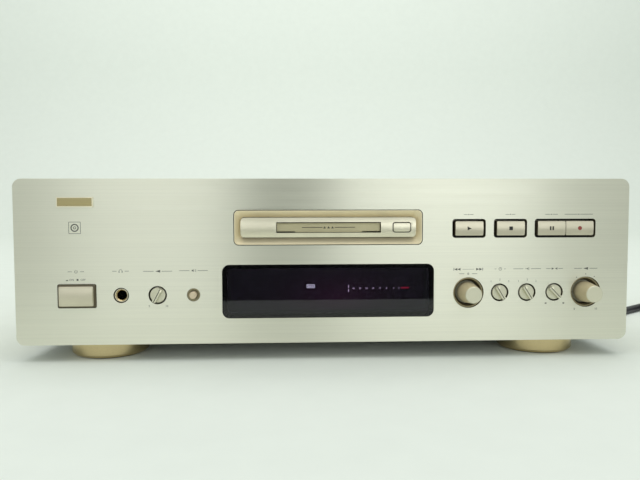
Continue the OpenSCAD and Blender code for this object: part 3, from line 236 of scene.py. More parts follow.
def make_camera():
    """The camera that took the photograph, as solved on the deck."""
    lens = bpy.data.cameras.new("camera")
    lens.sensor_width = SENSOR
    lens.lens = SENSOR * FOCAL_PX / PHOTO_WIDTH_PX
    lens.clip_start = 0.01
    camera = place_new("camera", lens)
    turn = (
        Matrix.Rotation(CAMERA_YAW, 4, "Z")
        @ Matrix.Rotation(CAMERA_PITCH, 4, "X")
        @ Matrix.Rotation(CAMERA_ROLL, 4, "Y")
        @ Matrix.Rotation(math.pi / 2, 4, "X")
    )
    camera.matrix_world = Matrix.Translation(CAMERA_PLACE) @ turn
    bpy.context.scene.camera = camera


make_camera()


# ---------------------------------------------------------------- finishes

def srgb(code):
    """A colour written as in paint charts, as linear light."""
    parts = [int(code[i:i + 2], 16) / 255 for i in (1, 3, 5)]
    return [c / 12.92 if c < 0.04045 else ((c + 0.055) / 1.055) ** 2.4 for c in parts] + [1.0]


def shade(colour, factor):
    """A colour made darker or lighter."""
    return [c * factor for c in colour[:3]] + [1.0]


class Recipe:
    """A material and the nodes that it is mixed from."""

    def __init__(self, name):
        self.material = bpy.data.materials.new(name)
        self.material.use_nodes = True
        self.tree = self.material.node_tree
        self.shader = self.tree.nodes["Principled BSDF"]
        self.place = self.tree.nodes.new("ShaderNodeTexCoord").outputs["Object"]

    def node(self, kind, **settings):
        made = self.tree.nodes.new(kind)
        for name, value in settings.items():
            setattr(made, name, value)
        return made

    def link(self, out, socket):
        self.tree.links.new(out, socket)

    def set(self, **values):
        for name, value in values.items():
            self.shader.inputs[name.replace("_", " ")].default_value = value

    def mapping(self, **values):
        """The place on the object, after a shift, a turn or a scale."""
        mapping = self.node("ShaderNodeMapping")
        for name, value in values.items():
            mapping.inputs[name].default_value = value
        self.link(self.place, mapping.inputs["Vector"])
        return mapping.outputs["Vector"]

    def noise(self, scale, detail, stretch=(1, 1, 1)):
        """Noise with features of about 1/scale metres, finer along each axis by the stretch."""
        noise = self.node("ShaderNodeTexNoise")
        noise.inputs["Scale"].default_value = scale
        noise.inputs["Detail"].default_value = detail
        self.link(self.mapping(Scale=stretch), noise.inputs["Vector"])
        return noise.outputs["Fac"]

    def spread(self, value, low, high):
        """A value from 0.3 to 0.7, where most noise lies, as one from low to high."""
        scale = self.node("ShaderNodeMapRange")
        edges = {"From Min": 0.3, "From Max": 0.7, "To Min": low, "To Max": high}
        for name, edge in edges.items():
            scale.inputs[name].default_value = edge
        self.link(value, scale.inputs["Value"])
        return scale.outputs["Result"]

    def add(self, first, second):
        """The sum of two values."""
        total = self.node("ShaderNodeMath", operation="ADD")
        self.link(first, total.inputs[0])
        self.link(second, total.inputs[1])
        return total.outputs[0]

    def tint(self, value, first, second):
        """The base colour, from the first to the second by a value from 0 to 1."""
        mix = self.node("ShaderNodeMix", data_type="RGBA")
        colours = [socket for socket in mix.inputs if socket.type == "RGBA"]
        for socket, colour in zip(colours, (first, second)):
            socket.default_value = colour
        self.link(value, mix.inputs["Factor"])
        mixed = next(socket for socket in mix.outputs if socket.type == "RGBA")
        self.link(mixed, self.shader.inputs["Base Color"])

    def mottle(self, value, colour, contrast):
        """The base colour, a little darker to a little lighter by a value from 0 to 1."""
        self.tint(value, shade(colour, 1 - contrast), shade(colour, 1 + contrast))

    def roughen(self, value, low, high):
        """The roughness, from low to high by a value from 0.3 to 0.7."""
        self.link(self.spread(value, low, high), self.shader.inputs["Roughness"])

    def bump(self, value, depth, strength):
        """Relief of so many metres."""
        bump = self.node("ShaderNodeBump")
        bump.inputs["Distance"].default_value = depth
        bump.inputs["Strength"].default_value = strength
        self.link(value, bump.inputs["Height"])
        self.link(bump.outputs["Normal"], self.shader.inputs["Normal"])


def brushed(name, colour, rough, streak, spin=0.0, stretch=0.6, contrast=0.06, metallic=1.0):
    """Brushed metal: fine lines drawn out along one direction, in tone, gloss and relief."""
    recipe = Recipe(name)
    recipe.set(Metallic=metallic, Anisotropic=stretch, Anisotropic_Rotation=spin)
    fine = recipe.noise(1.0, 4.0, streak)
    wide = recipe.noise(1.0, 2.0, [s * 0.3 for s in streak])
    cloud = recipe.noise(9.0, 2.0)
    recipe.mottle(recipe.add(recipe.spread(fine, -0.5, 0.5), recipe.spread(wide, 0.35, 0.65)),
                  colour, contrast)
    gloss = recipe.add(recipe.spread(fine, rough - 0.04, rough + 0.04),
                       recipe.spread(cloud, -0.02, 0.02))
    recipe.link(gloss, recipe.shader.inputs["Roughness"])
    recipe.bump(fine, depth=0.004 * MM, strength=0.6)
    tangent = recipe.node("ShaderNodeTangent", direction_type="RADIAL", axis="Z")
    recipe.link(tangent.outputs["Tangent"], recipe.shader.inputs["Tangent"])
    return recipe.material


def satin_metal(name, colour, rough, grain=2500, metallic=1.0, contrast=0.05):
    """Blasted and anodised or plated metal: a fine even grain."""
    recipe = Recipe(name)
    recipe.set(Metallic=metallic)
    fine = recipe.noise(grain, 2.0)
    cloud = recipe.noise(45, 3.0)
    recipe.mottle(recipe.spread(cloud, 0, 1), colour, contrast)
    recipe.roughen(fine, rough - 0.05, rough + 0.05)
    recipe.bump(fine, depth=0.006 * MM, strength=0.5)
    return recipe.material


def moulded(name, colour, rough, grain=1800, relief=0.01, gloss=0.5, contrast=0.12):
    """Moulded plastic, rubber or paint: fine texture with slight mottling and rub marks. The
    relief is in millimetres."""
    recipe = Recipe(name)
    recipe.set(Specular_IOR_Level=gloss)
    fine = recipe.noise(grain, 2.0)
    cloud = recipe.noise(38, 4.0)
    recipe.mottle(recipe.spread(cloud, 0, 1), colour, contrast)
    recipe.roughen(cloud, rough - 0.06, rough + 0.06)
    recipe.bump(fine, depth=relief * MM, strength=0.5)
    return recipe.material


def circuit_board(name, colour, copper):
    """Solder mask over copper: wide tracks and pads that show through it."""
    pads_per_metre, pad_reach = 160, 0.34
    recipe = Recipe(name)
    cells = recipe.node("ShaderNodeTexVoronoi", distance="MANHATTAN", feature="F1")
    cells.inputs["Scale"].default_value = pads_per_metre
    recipe.link(recipe.place, cells.inputs["Vector"])
    track = recipe.node("ShaderNodeMath", operation="LESS_THAN")
    track.inputs[1].default_value = pad_reach
    recipe.link(cells.outputs["Distance"], track.inputs[0])
    recipe.tint(track.outputs[0], colour, copper)
    recipe.roughen(recipe.noise(60, 2.0), 0.28, 0.4)
    recipe.bump(track.outputs[0], depth=0.02 * MM, strength=0.6)
    return recipe.material


def smoked_window():
    """Smoked acrylic with a violet cast, polished."""
    recipe = Recipe("smoked_window")
    recipe.set(Transmission_Weight=1.0, IOR=1.49)
    cloud = recipe.noise(30, 2.0)
    recipe.tint(recipe.spread(cloud, 0, 1), (0.135, 0.11, 0.185, 1), (0.155, 0.125, 0.205, 1))
    recipe.roughen(cloud, 0.015, 0.03)
    return recipe.material


def turned_face(name, colour, centre):
    """Satin metal with the fine rings that a lathe leaves about a knob's own line."""
    ring_pitch, wave_at_scale_one = 0.35 * MM, 0.31
    recipe = Recipe(name)
    recipe.set(Metallic=0.5)
    rings = recipe.node("ShaderNodeTexWave", wave_type="RINGS", rings_direction="Y")
    rings.inputs["Scale"].default_value = wave_at_scale_one / ring_pitch
    rings.inputs["Distortion"].default_value = 0.6
    rings.inputs["Detail"].default_value = 1.0
    recipe.link(recipe.mapping(Location=(-centre.x, 0, -centre.z)), rings.inputs["Vector"])
    recipe.tint(rings.outputs["Fac"], shade(colour, 0.96), shade(colour, 1.03))
    recipe.roughen(recipe.noise(1800, 2.0), 0.34, 0.43)
    recipe.bump(rings.outputs["Fac"], depth=0.004 * MM, strength=0.5)
    return recipe.material


def display_glass(name, colour, glow, cell):
    """The display tube's face: dark glass, the faint grid of its unlit cells and a dim warm
    glow about its middle."""
    brick_at_scale_one = 0.5
    glow_shift, glow_scale = (-0.1, 0, -1.35), (15, 0, 32)
    recipe = Recipe(name)
    recipe.set(Emission_Color=glow)
    cells = recipe.node("ShaderNodeTexBrick", offset=0.0)
    cells.inputs["Scale"].default_value = brick_at_scale_one / cell
    cells.inputs["Mortar Size"].default_value = 0.05
    recipe.link(recipe.mapping(Rotation=(-math.pi / 2, 0, 0)), cells.inputs["Vector"])
    recipe.tint(cells.outputs["Fac"], shade(colour, 1.25), shade(colour, 0.8))
    recipe.roughen(recipe.noise(40, 2.0), 0.12, 0.2)
    fall = recipe.node("ShaderNodeTexGradient", gradient_type="QUADRATIC_SPHERE")
    recipe.link(recipe.mapping(Location=glow_shift, Scale=glow_scale), fall.inputs["Vector"])
    recipe.link(fall.outputs["Fac"], recipe.shader.inputs["Emission Strength"])
    return recipe.material


def glowing(name, colour, strength):
    """A lit segment, a little brighter in its middle dots."""
    recipe = Recipe(name)
    recipe.set(Base_Color=shade(colour, 0.3), Emission_Color=colour, Roughness=0.5)
    dots = recipe.noise(2600, 0.0)
    recipe.link(recipe.spread(dots, 0.85 * strength, 1.15 * strength),
                recipe.shader.inputs["Emission Strength"])
    return recipe.material


FINISHES = {
    "panel": brushed("brushed_champagne", srgb("#DDDCCB"), rough=0.33,
                     streak=(5, 1100, 1100), spin=0.25, stretch=0.85, contrast=0.03,
                     metallic=0.82),
    "black_frame": moulded("black_frame", srgb("#221F1A"), rough=0.55),
    "bezel": satin_metal("satin_bezel", srgb("#EEE1BF"), rough=0.5, metallic=0.3),
    "bar": satin_metal("satin_bar", srgb("#E6E0C8"), rough=0.38, metallic=0.9),
    "flap": satin_metal("satin_flap", srgb("#BCB492"), rough=0.45, metallic=0.8),
    "window": smoked_window(),
    "tube": display_glass("display_tube", srgb("#3A2438"), (0.062, 0.008, 0.034, 1), 2.4 * MM),
    "board": circuit_board("circuit_board", srgb("#1F4A2C"), srgb("#3C6E3E")),
    "caps": satin_metal("satin_button", srgb("#CFC8B2"), rough=0.38, metallic=0.85),
    "switch_plastic": moulded("switch_plastic", srgb("#3A3830"), rough=0.5),
    "gold": satin_metal("gold_plate", srgb("#CBB98F"), rough=0.22, grain=900, contrast=0.04),
    "black_plastic": moulded("black_plastic", srgb("#1B1A18"), rough=0.45),
    "knob": satin_metal("turned_knob", srgb("#D6CDB0"), rough=0.33),
    "monitor": satin_metal("monitor_cap", srgb("#CDBCA0"), rough=0.4, metallic=0.2),
    "collar": satin_metal("collar_ring", srgb("#A39C80"), rough=0.45, metallic=0.15),
    "steel": satin_metal("bright_steel", srgb("#B9B9B4"), rough=0.25),
    "white_plastic": moulded("acetal", srgb("#DAD6C6"), rough=0.4),
    "cover": moulded("champagne_paint", srgb("#B9B296"), rough=0.42, grain=1400, relief=0.02,
                     contrast=0.025),
    "screw": satin_metal("plated_screw", srgb("#B7AE8C"), rough=0.3),
    "sheet": brushed("zinc_sheet", srgb("#A9A9A2"), rough=0.35, streak=(40, 6, 40)),
    "rubber": moulded("black_rubber", srgb("#262523"), rough=0.75, relief=0.03),
    "core": moulded("varnished_core", srgb("#5A5348"), rough=0.5, relief=0.05),
    "cord": moulded("cord_sheath", srgb("#26262A"), rough=0.42),
    "cord_plastic": moulded("plug_moulding", srgb("#1F1F22"), rough=0.48, relief=0.015),
}
INK = moulded("grey_ink", srgb("#55554E"), rough=0.6)
# Dark ink for print, also used as the painted shade along the small knobs' blades
DARK_INK_AND_SHADE = moulded("dark_ink_and_painted_shade", srgb("#26241F"), rough=0.6)
# Painted shade: dark brown on the walls of the gaps and recesses round the keys, buttons, slot
# bar, bezel and the panel's holes
PAINTED_SHADE_WALL = moulded("painted_shade_wall", srgb("#564D39"), rough=0.6)
# Painted shade in the large knobs' wells, brownish as a painted reflection of the knob, and a
# lighter painted shade on their front lips
WELL_PAINTED_SHADE = satin_metal("well_painted_shade", srgb("#5A5139"), rough=0.4, metallic=0.5)
WELL_LIP_PAINTED_SHADE = satin_metal("well_lip_painted_shade", srgb("#938868"), rough=0.35, metallic=0.6)
KNOB_SIDE = satin_metal("knob_side", srgb("#CBBD9A"), rough=0.45, metallic=0.3)
PLATE_FIELD = brushed("plate_field", srgb("#A3976E"), rough=0.3, streak=(30, 2200, 2200))
CHIP = moulded("chip_case", srgb("#1E1E1E"), rough=0.45)
ALUMINIUM = satin_metal("bare_aluminium", srgb("#B4B4B0"), rough=0.35)
COPPER = moulded("winding_tape", srgb("#B98A3E"), rough=0.35, relief=0.05)
WHITE_RING = moulded("white_insulator", srgb("#E8E6DE"), rough=0.4)
RED_RING = moulded("red_insulator", srgb("#B03A2C"), rough=0.4)
LIT_WHITE = glowing("lit_white", (0.86, 1.0, 0.82, 1), 5.0)
LIT_DIM = glowing("lit_dim", (0.9, 0.85, 0.8, 1), 3.2)
LIT_RED = glowing("lit_red", (1.0, 0.04, 0.1, 1), 1.0)
BLACK_CARD = moulded("black_card", srgb("#080808"), rough=0.9)
RED_INK = moulded("red_ink", srgb("#8E3A34"), rough=0.55)
PALE_INK = moulded("pale_ink", srgb("#F0EAD2"), rough=0.55)
FLOOR_PAPER = moulded("floor_paper", srgb("#E8EDE6"), rough=0.55, grain=700, relief=0.004,
                      gloss=0, contrast=0.01)


# ---------------------------------------------------------------- cord and plug

CORD_D = 7 * MM
GLAND = (152 * MM, BACK, 40 * MM)
GLAND_L = 28 * MM
# The cord's route in millimetres: down from the strain relief to the floor, then lying on it
# beside the deck until the coil begins
LIE_Z = 3.5
CORD_FALL = [(152, 206, 40), (152.5, 219.5, 37), (156.5, 231, 30), (162, 239, 20),
             (170, 245, 10.5), (181.5, 249.5, 5)]
CORD_LIE = [
    (195.5, 250.5), (209, 247.5), (221, 240), (230.5, 230), (236.5, 217.5), (238.5, 203.5),
    *[(238.5, y) for y in range(188, 26, -18)], (238.5, 28), (239.5, 13.5), (245, 1),
    (254.5, -9), (267, -15), (281, -16), (294.5, -12), (306, -3.5), (318, 5.5), (330, 14.5),
    (345, 25.75),
]
COIL_CENTRE = (395, 2.6)
COIL_OUT_R = 48.5
COIL_PITCH = 7.6
COIL_HEADING = 36.87
COIL_TURNS = 5 + (90 + COIL_HEADING) / 360
COIL_CLIMB_TURNS = 0.5
COIL_STEPS = 24
COIL_LEAD_IN = 7
COIL_TAIL = 26


def coil_point(turn):
    """A point of the stored coil: a spiral in on the floor and out again on top of itself."""
    half = COIL_TURNS / 2
    radius = COIL_OUT_R - COIL_PITCH * (half - abs(turn - half))
    climb = min(max((turn - half) / COIL_CLIMB_TURNS + 0.5, 0), 1)
    angle = math.radians(90 + COIL_HEADING - 360 * turn)
    return (COIL_CENTRE[0] + radius * math.cos(angle), COIL_CENTRE[1] + radius * math.sin(angle),
            LIE_Z + COIL_PITCH * climb)


def cord_line():
    """The cord's whole route, from the strain relief's end to the plug, in metres."""
    steps = round(COIL_TURNS * COIL_STEPS)
    coil = [coil_point(i * COIL_TURNS / steps) for i in range(steps + 1)]
    way = math.radians(COIL_HEADING)
    lead_in = (coil[0][0] - COIL_LEAD_IN * math.cos(way),
               coil[0][1] - COIL_LEAD_IN * math.sin(way), coil[0][2])
    end_angle = math.radians(90 + COIL_HEADING - 360 * COIL_TURNS)
    out = (math.sin(end_angle), -math.cos(end_angle))
    tail = (coil[-1][0] + COIL_TAIL * out[0], coil[-1][1] + COIL_TAIL * out[1], coil[-1][2])
    lie = [(x, y, LIE_Z) for x, y in CORD_LIE]
    start = (GLAND[0] / MM, (GLAND[1] + GLAND_L) / MM, GLAND[2] / MM)
    return [Vector(p) * MM for p in [start, *CORD_FALL, *lie, lead_in, *coil, tail]]


def make_cord(points):
    """The sheath, on one smooth curve through its route."""
    line = bpy.data.curves.new("mains_cord", "CURVE")
    line.dimensions = "3D"
    line.resolution_u = 4
    line.bevel_depth = CORD_D / 2
    line.bevel_resolution = 5
    line.use_fill_caps = True
    spline = line.splines.new("BEZIER")
    spline.bezier_points.add(len(points) - 1)
    for knot, place in zip(spline.bezier_points, points):
        knot.co = place
        knot.handle_left_type = knot.handle_right_type = "AUTO"
    return place_new("mains_cord", line)


def turned(name, centre, profile, sides, heading=REARWARD):
    """A turned piece: a disc drawn out step by step along its heading. The profile is
    (distance along, radius) in millimetres, from one end to the other."""
    way = heading.normalized()
    steps = [(at * MM, radius * MM) for at, radius in profile]
    start, start_r = steps[0]
    bpy.ops.mesh.primitive_circle_add(vertices=sides, radius=start_r, fill_type="NGON",
                                      location=Vector(centre) + way * start,
                                      rotation=way.to_track_quat("Z", "Y").to_euler())
    piece = settle(new_piece(name))
    open_whole(piece)
    for (was, was_r), (at, radius) in zip(steps, steps[1:]):
        bpy.ops.mesh.extrude_region_move(
            TRANSFORM_OT_translate={"value": way * (at - was), "orient_type": "GLOBAL"})
        grown = radius / was_r
        bpy.ops.transform.resize(value=(grown, grown, grown),
                                 center_override=Vector(centre) + way * at)
    bpy.ops.mesh.select_all(action="SELECT")
    bpy.ops.mesh.normals_make_consistent(inside=False)
    close_edit()
    return piece


def make_strain_relief():
    """The cord's bushing: snapped into the rear panel, with a ribbed, tapering nose."""
    wall, tip = 1.2, GLAND_L / MM
    profile = [(-wall - 3, 7.5), (-wall - 2.4, 8.5), (-wall, 8.5), (-wall, 6.8), (0, 6.8),
               (0, 8.6), (0.4, 9), (1.6, 9), (2, 8.6), (2.5, 6.5)]
    ribs, rib_from, rib_to, slope = 6, 4.5, 25, 0.3
    pitch = (rib_to - rib_from) / ribs
    for rib in range(ribs):
        at = rib_from + rib * pitch
        end = at + pitch * 0.38
        radius = 6.5 - 1.8 * at / tip
        groove = radius - 0.9
        profile += [(at, radius), (at + slope, groove), (end, groove), (end + slope, radius)]
    profile += [(tip - 0.5, 4.8), (tip, 4.3)]
    return soften(turned("strain_relief", GLAND, profile, sides=48), 30)


PLUG_NECK = [(0, 4.4), (0.4, 4.8), (3, 5.1), (3.2, 4.5), (4.4, 4.6), (4.6, 5.6), (7.2, 6.2),
             (7.4, 5.4), (8.6, 5.6), (8.8, 7), (15, 8.4)]
PLUG_NOSE, PLUG_BODY, PLUG_WIDTH = 14 * MM, 32 * MM, 26 * MM
# How much the plug's body is drawn in at each of its first rows of corners
PLUG_PINCHES = (0.30, 0.13, 0.03)
PLUG_ROWS = 6
GRIPS, GRIP_FROM, GRIP_PITCH = 6, 11 * MM, 2.6 * MM
BLADE = (1.5 * MM, 18 * MM, 6.3 * MM)
BLADE_OUT, BLADE_ASIDE = 8.5 * MM, 6.35 * MM
BLADE_HOLE_R, BLADE_HOLE_OUT = 1.6 * MM, 5 * MM


def make_plug(start, way):
    """A moulded two-pin plug at the cord's end, with a ribbed neck, grips and drilled blades."""
    neck = soften(turned("plug_neck", start, PLUG_NECK, sides=40, heading=way), 30)
    centre = start + way * (PLUG_NOSE + PLUG_BODY / 2)
    height = 2 * start.z
    body = block("plug_block", centre, (PLUG_WIDTH, PLUG_BODY, height))
    open_whole(body)
    bpy.ops.mesh.subdivide(number_cuts=PLUG_ROWS - 1)
    close_edit()
    corners = body.data.vertices
    for row, pinch in enumerate(PLUG_PINCHES):
        at = PLUG_NOSE + row * PLUG_BODY / PLUG_ROWS
        pick(body, "EDGE", lambda edge: all(
            abs((corners[i].co - start).dot(way) - at) < PLUG_BODY / 20 for i in edge.vertices))
        bpy.ops.transform.resize(value=(1 - pinch, 1, 1 - 1.3 * pinch),
                                 center_override=start + way * at)
        close_edit()
    modify(body, "BEVEL", width=3.6 * MM, segments=5, limit_method="ANGLE",
           angle_limit=math.radians(50))
    soften(body, 50)

    def beside(along, aside):
        """A place so far along the plug and so far beside its middle line."""
        at = start + way * along
        at.x = centre.x + aside
        return at

    grips = []
    for side in (-1, 1):
        for i in range(GRIPS):
            at = beside(PLUG_NOSE + GRIP_FROM + GRIP_PITCH * i,
                        side * (PLUG_WIDTH / 2 - 0.2 * MM))
            grip = block("plug_grip", at, (1.0 * MM, 1.2 * MM, height * 0.5))
            grips.append(round_edges(grip, 0.35 * MM))
    blades = []
    for side in (-1, 1):
        at = beside(PLUG_NOSE + PLUG_BODY + BLADE_OUT, side * BLADE_ASIDE)
        blade = block("plug_blade", at, BLADE)
        bpy.ops.mesh.primitive_cylinder_add(vertices=32, radius=BLADE_HOLE_R, depth=6 * MM,
                                            location=at + way * BLADE_HOLE_OUT,
                                            rotation=(0, math.pi / 2, 0))
        drill = settle(new_piece("drill"))
        modify(blade, "BOOLEAN", operation="DIFFERENCE", object=drill)
        bpy.data.objects.remove(drill)
        blades.append(round_edges(blade, 0.3 * MM))
    return join("plug_body", [body, neck, *grips]), join("plug_blades", blades)


cord_points = cord_line()
cord = make_cord(cord_points)
finish_piece(cord, FINISHES["cord"])
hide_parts("power_cord", "power_cord_coil")
strain_relief = make_strain_relief()
finish_piece(strain_relief, FINISHES["cord_plastic"])
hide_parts("cord_bushing")
plug_way = (cord_points[-1] - cord_points[-2]).normalized()
plug_body, plug_blades = make_plug(cord_points[-1], plug_way)
finish_piece(plug_body, FINISHES["cord_plastic"])
finish_piece(plug_blades, FINISHES["steel"])
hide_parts("power_plug")


# ---------------------------------------------------------------- casing and controls

# Edge radii of the rounded skins, in millimetres
EDGE_RADII = {
    "front_panel": 0.45, "loading_bezel": 0.12, "slot_bar": 0.45, "slot_flap": 0.15,
    "eject_button": 0.3, "play_button": 0.3, "stop_button": 0.3, "pause_button": 0.3,
    "record_button": 0.3, "power_button": 0.4, "phones_ring": 0.15,
    "phones_level_knob": 0.2, "timer_knob": 0.2, "input_select_knob": 0.2,
    "balance_knob": 0.2, "select_knob": 0.3, "input_level_knob": 0.3, "monitor_button": 0.2,
    "monitor_collar": 0.08, "display_window": 0.15, "name_plate": 0.12, "top_cover": 0.25,
    "cover_screws": 0.15, "feet": 0.35, "foot_pads": 0.2, "rear_jacks": 0.15,
    "chassis_pan": 0.2, "rear_panel": 0.1, "sub_panel": 0.15, "main_board": 0.15,
    "power_board": 0.15, "transformer": 0.3, "power_switch": 0.2,
}
KEYS = ("play", "stop", "pause", "record")
# How far the front finish of a piece reaches back from its nose, in millimetres
FRONT_SKINS = {key + "_button": 1.0 for key in KEYS} | {
    "power_button": 1.0, "eject_button": 0.8, "display_window": 0.5, "slot_bar": 0.8}
RIM_DEPTH = 0.2 * MM
SEAM = 0.5 * MM
PLATE_RIM, PLATE_SINK = 0.7 * MM, 0.3 * MM
NOSE_DEPTH = 0.3 * MM
CROWN = 0.6 * MM
CROWN_ROWS = 6


def middle(node):
    """The middle of a node's box."""
    low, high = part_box(node)
    return (low + high) / 2


def centre_of(node):
    """The x and z of a node's middle, in millimetres."""
    line = middle(node)
    return line.x / MM, line.z / MM


def open_seam(obj):
    """Draws the bezel's front rim in, which leaves the dark seam round it."""
    front = FACE + RIM_DEPTH
    corners = obj.data.vertices
    rim = [corner.co for corner in corners if corner.co.y < front]
    wide = max(at.x for at in rim) - min(at.x for at in rim)
    tall = max(at.z for at in rim) - min(at.z for at in rim)
    pick(obj, "EDGE", lambda edge: all(corners[i].co.y < front for i in edge.vertices))
    bpy.ops.transform.resize(value=(1 - 2 * SEAM / wide, 1, 1 - 2 * SEAM / tall),
                             center_override=middle("loading_bezel"))
    close_edit()


def frame_plate(obj):
    """Sinks the middle of the name plate, which leaves a rim round it."""
    pick(obj, "FACE", lambda face: face.normal.y < -0.9)
    bpy.ops.mesh.inset(thickness=PLATE_RIM, depth=0)
    bpy.ops.mesh.extrude_region_move(TRANSFORM_OT_translate={"value": (0, PLATE_SINK, 0)})
    close_edit()


def crown_face(obj):
    """Bows the power button's face a little, row by row from its middle line."""
    nose_back = min(corner.co.y for corner in obj.data.vertices) + NOSE_DEPTH
    heights = [corner.co.z for corner in obj.data.vertices if corner.co.y < nose_back]
    centre, half = (max(heights) + min(heights)) / 2, (max(heights) - min(heights)) / 2
    for step in range(1 - CROWN_ROWS, CROWN_ROWS):
        score(obj, UPWARD, centre + half * step / CROWN_ROWS)
    rows = {round(corner.co.z, 5) for corner in obj.data.vertices if corner.co.y < nose_back}
    for row in sorted(rows):
        pick(obj, "VERT", lambda corner: corner.co.y < nose_back
             and round(corner.co.z, 5) == row)
        bpy.ops.transform.translate(value=(0, CROWN * ((row - centre) / half) ** 2, 0))
        close_edit()


RESHAPED = {"loading_bezel": open_seam, "name_plate": frame_plate,
            "power_button": crown_face}
skins = {node: stand_in(node, radius * MM) for node, radius in EDGE_RADII.items()}
for node, obj in nodes.items():
    if node not in EDGE_RADII:
        obj.data.materials.clear()
        obj.data.materials.append(FINISHES[SLOT_OF[node]])


def round_line(node, reach):
    """A test for faces that lie within a radius of a node's line along the depth."""
    line = middle(node)
    return lambda at: math.hypot(at.x - line.x, at.z - line.z) < reach


# How far from its middle the slot bar's walls get painted shade, sideways and upwards: the
# walls of its openings and its underside. Its upper and end walls stay light
BAR_PAINTED_SHADE_REACH = (61 * MM, 6.2 * MM)
ALL_ROUND = (math.inf, math.inf)


def finish_walls(node, depth, finish, reach):
    """Gives the walls behind a piece's front finish a finish of their own, painted shade or
    another, where they lie within a reach of its middle."""
    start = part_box(node)[0].y + depth * MM
    line = middle(node)
    add_finish(skins[node], finish, lambda at, way: at.y > start and abs(way.y) < 0.85
               and abs(at.x - line.x) < reach[0] and at.z - line.z < reach[1])


# The walls behind the keys, the buttons and the slot bar take painted shade, where their gaps are
# in shade; the display window's edge takes the black frame.
for node, depth in FRONT_SKINS.items():
    finish_walls(node, depth, FINISHES["black_frame"] if node == "display_window" else PAINTED_SHADE_WALL,
                 BAR_PAINTED_SHADE_REACH if node == "slot_bar" else ALL_ROUND)

# Painted shade on the bezel's straight walls in the gap round the bar, and on the walls of the
# panel's holes behind a light lip, away from the panel's outer border
BEZEL_SHADE_DEPTH = 7.8 * MM
HOLE_LIP = 0.5 * MM
PANEL_BORDER = 7 * MM
add_finish(skins["loading_bezel"], PAINTED_SHADE_WALL,
           lambda at, way: abs(way.y) < 0.1 and at.y < FACE + BEZEL_SHADE_DEPTH)
add_finish(skins["front_panel"], PAINTED_SHADE_WALL, lambda at, way: abs(way.y) < 0.3
           and at.y > FACE + HOLE_LIP and abs(at.x) < PANEL_HIGH.x - PANEL_BORDER
           and PANEL_LOW.z + PANEL_BORDER < at.z < PANEL_HIGH.z - PANEL_BORDER)

LARGE_KNOBS = ("select_knob", "input_level_knob")
# How far each small knob's blade is turned from upright, in degrees
KNOB_LEANS = {"phones_level_knob": 28, "timer_knob": -31, "input_select_knob": -32,
              "balance_knob": -43.6}
WELL_R, LIP_OUT, LIP_IN = 11 * MM, 10.9 * MM, 9.7 * MM
WELL_DEPTH = 7.5 * MM
well_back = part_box("sub_panel")[0].y + WELL_DEPTH
# Each large knob's well takes painted shade, and the ring of its front lip a lighter painted
# shade
for knob in LARGE_KNOBS:
    inside, in_lip, in_floor = (round_line(knob, r) for r in (WELL_R, LIP_OUT, LIP_IN))
    add_finish(skins["sub_panel"], WELL_PAINTED_SHADE, lambda at, way: at.y < well_back and inside(at))
    add_finish(skins["sub_panel"], WELL_LIP_PAINTED_SHADE, lambda at, way: at.y < well_back
               and way.y < -0.5 and in_lip(at) and not in_floor(at))
for knob in (*LARGE_KNOBS, *KNOB_LEANS):
    skins[knob].data.materials[0] = turned_face(knob + "_finish", srgb("#D2CFB8"), middle(knob))
for knob in LARGE_KNOBS:
    add_finish(skins[knob], KNOB_SIDE, lambda at, way: way.y > -0.6)

PLATE_PROUD = 0.6 * MM
skins["name_plate"].data.materials[0] = FINISHES["bar"]
add_finish(skins["name_plate"], PLATE_FIELD,
           lambda at, way: way.y < -0.9 and at.y > FACE - PLATE_PROUD)
add_finish(skins["phones_ring"], FINISHES["caps"], lambda at, way: way.y < -0.9)

# Heights over the foot of the boards' stands: below the first is a stand, above the second
# a part on a board
STANDS_TO, PARTS_FROM = 6.9 * MM, 8.7 * MM
stand_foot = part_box("main_board")[0].z
for board in ("main_board", "power_board"):
    add_finish(skins[board], ALUMINIUM, lambda at, way: at.z < stand_foot + STANDS_TO)
    add_finish(skins[board], CHIP, lambda at, way: at.z > stand_foot + PARTS_FROM)
# The winding shows before and behind the core and in its two windows
WINDING_DEPTH, YOKE, WINDOW_HALF = 10.2 * MM, 12 * MM, 26 * MM
core_low, core_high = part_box("transformer")
add_finish(skins["transformer"], COPPER, lambda at, way:
           not core_low.y + WINDING_DEPTH < at.y < core_high.y - WINDING_DEPTH
           or core_low.z + YOKE < at.z < core_high.z - YOKE
           and abs(at.x - (core_low.x + core_high.x) / 2) < WINDOW_HALF)
BRACKET_TALL = 18 * MM
switch_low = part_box("power_switch")[0].z + BRACKET_TALL
add_finish(skins["power_switch"], ALUMINIUM, lambda at, way: at.z < switch_low)
PHONO_R, PHONO_OUT = 6 * MM, 11.4 * MM
PHONO_PLACES = [(x * MM, z * MM) for x, z in
                ((-180, 45.2), (-180, 63.2), (-162, 45.2), (-162, 63.2), (-128, 45.2))]
add_finish(skins["rear_jacks"], FINISHES["gold"], lambda at, way: at.y > BACK - 1 * MM and any(
    math.hypot(at.x - x, at.z - z) < PHONO_R for x, z in PHONO_PLACES))


# ---------------------------------------------------------------- printing and painted blade shade

# Places and sizes of the printing are in millimetres: x and z of a shape's middle, then its
# width and height. A face is the depth of the surface below it, in metres.
INK_T = 0.06 * MM
ARC_STEPS = 28


def settle_at(shape, x, z, face):
    """Puts a flat shape's middle at x, z on a face that looks forward."""
    xs = [v.co.x for v in shape.data.vertices]
    zs = [v.co.z for v in shape.data.vertices]
    shape.location = (x * MM - (min(xs) + max(xs)) / 2, face, z * MM - (min(zs) + max(zs)) / 2)
    return settle(shape)


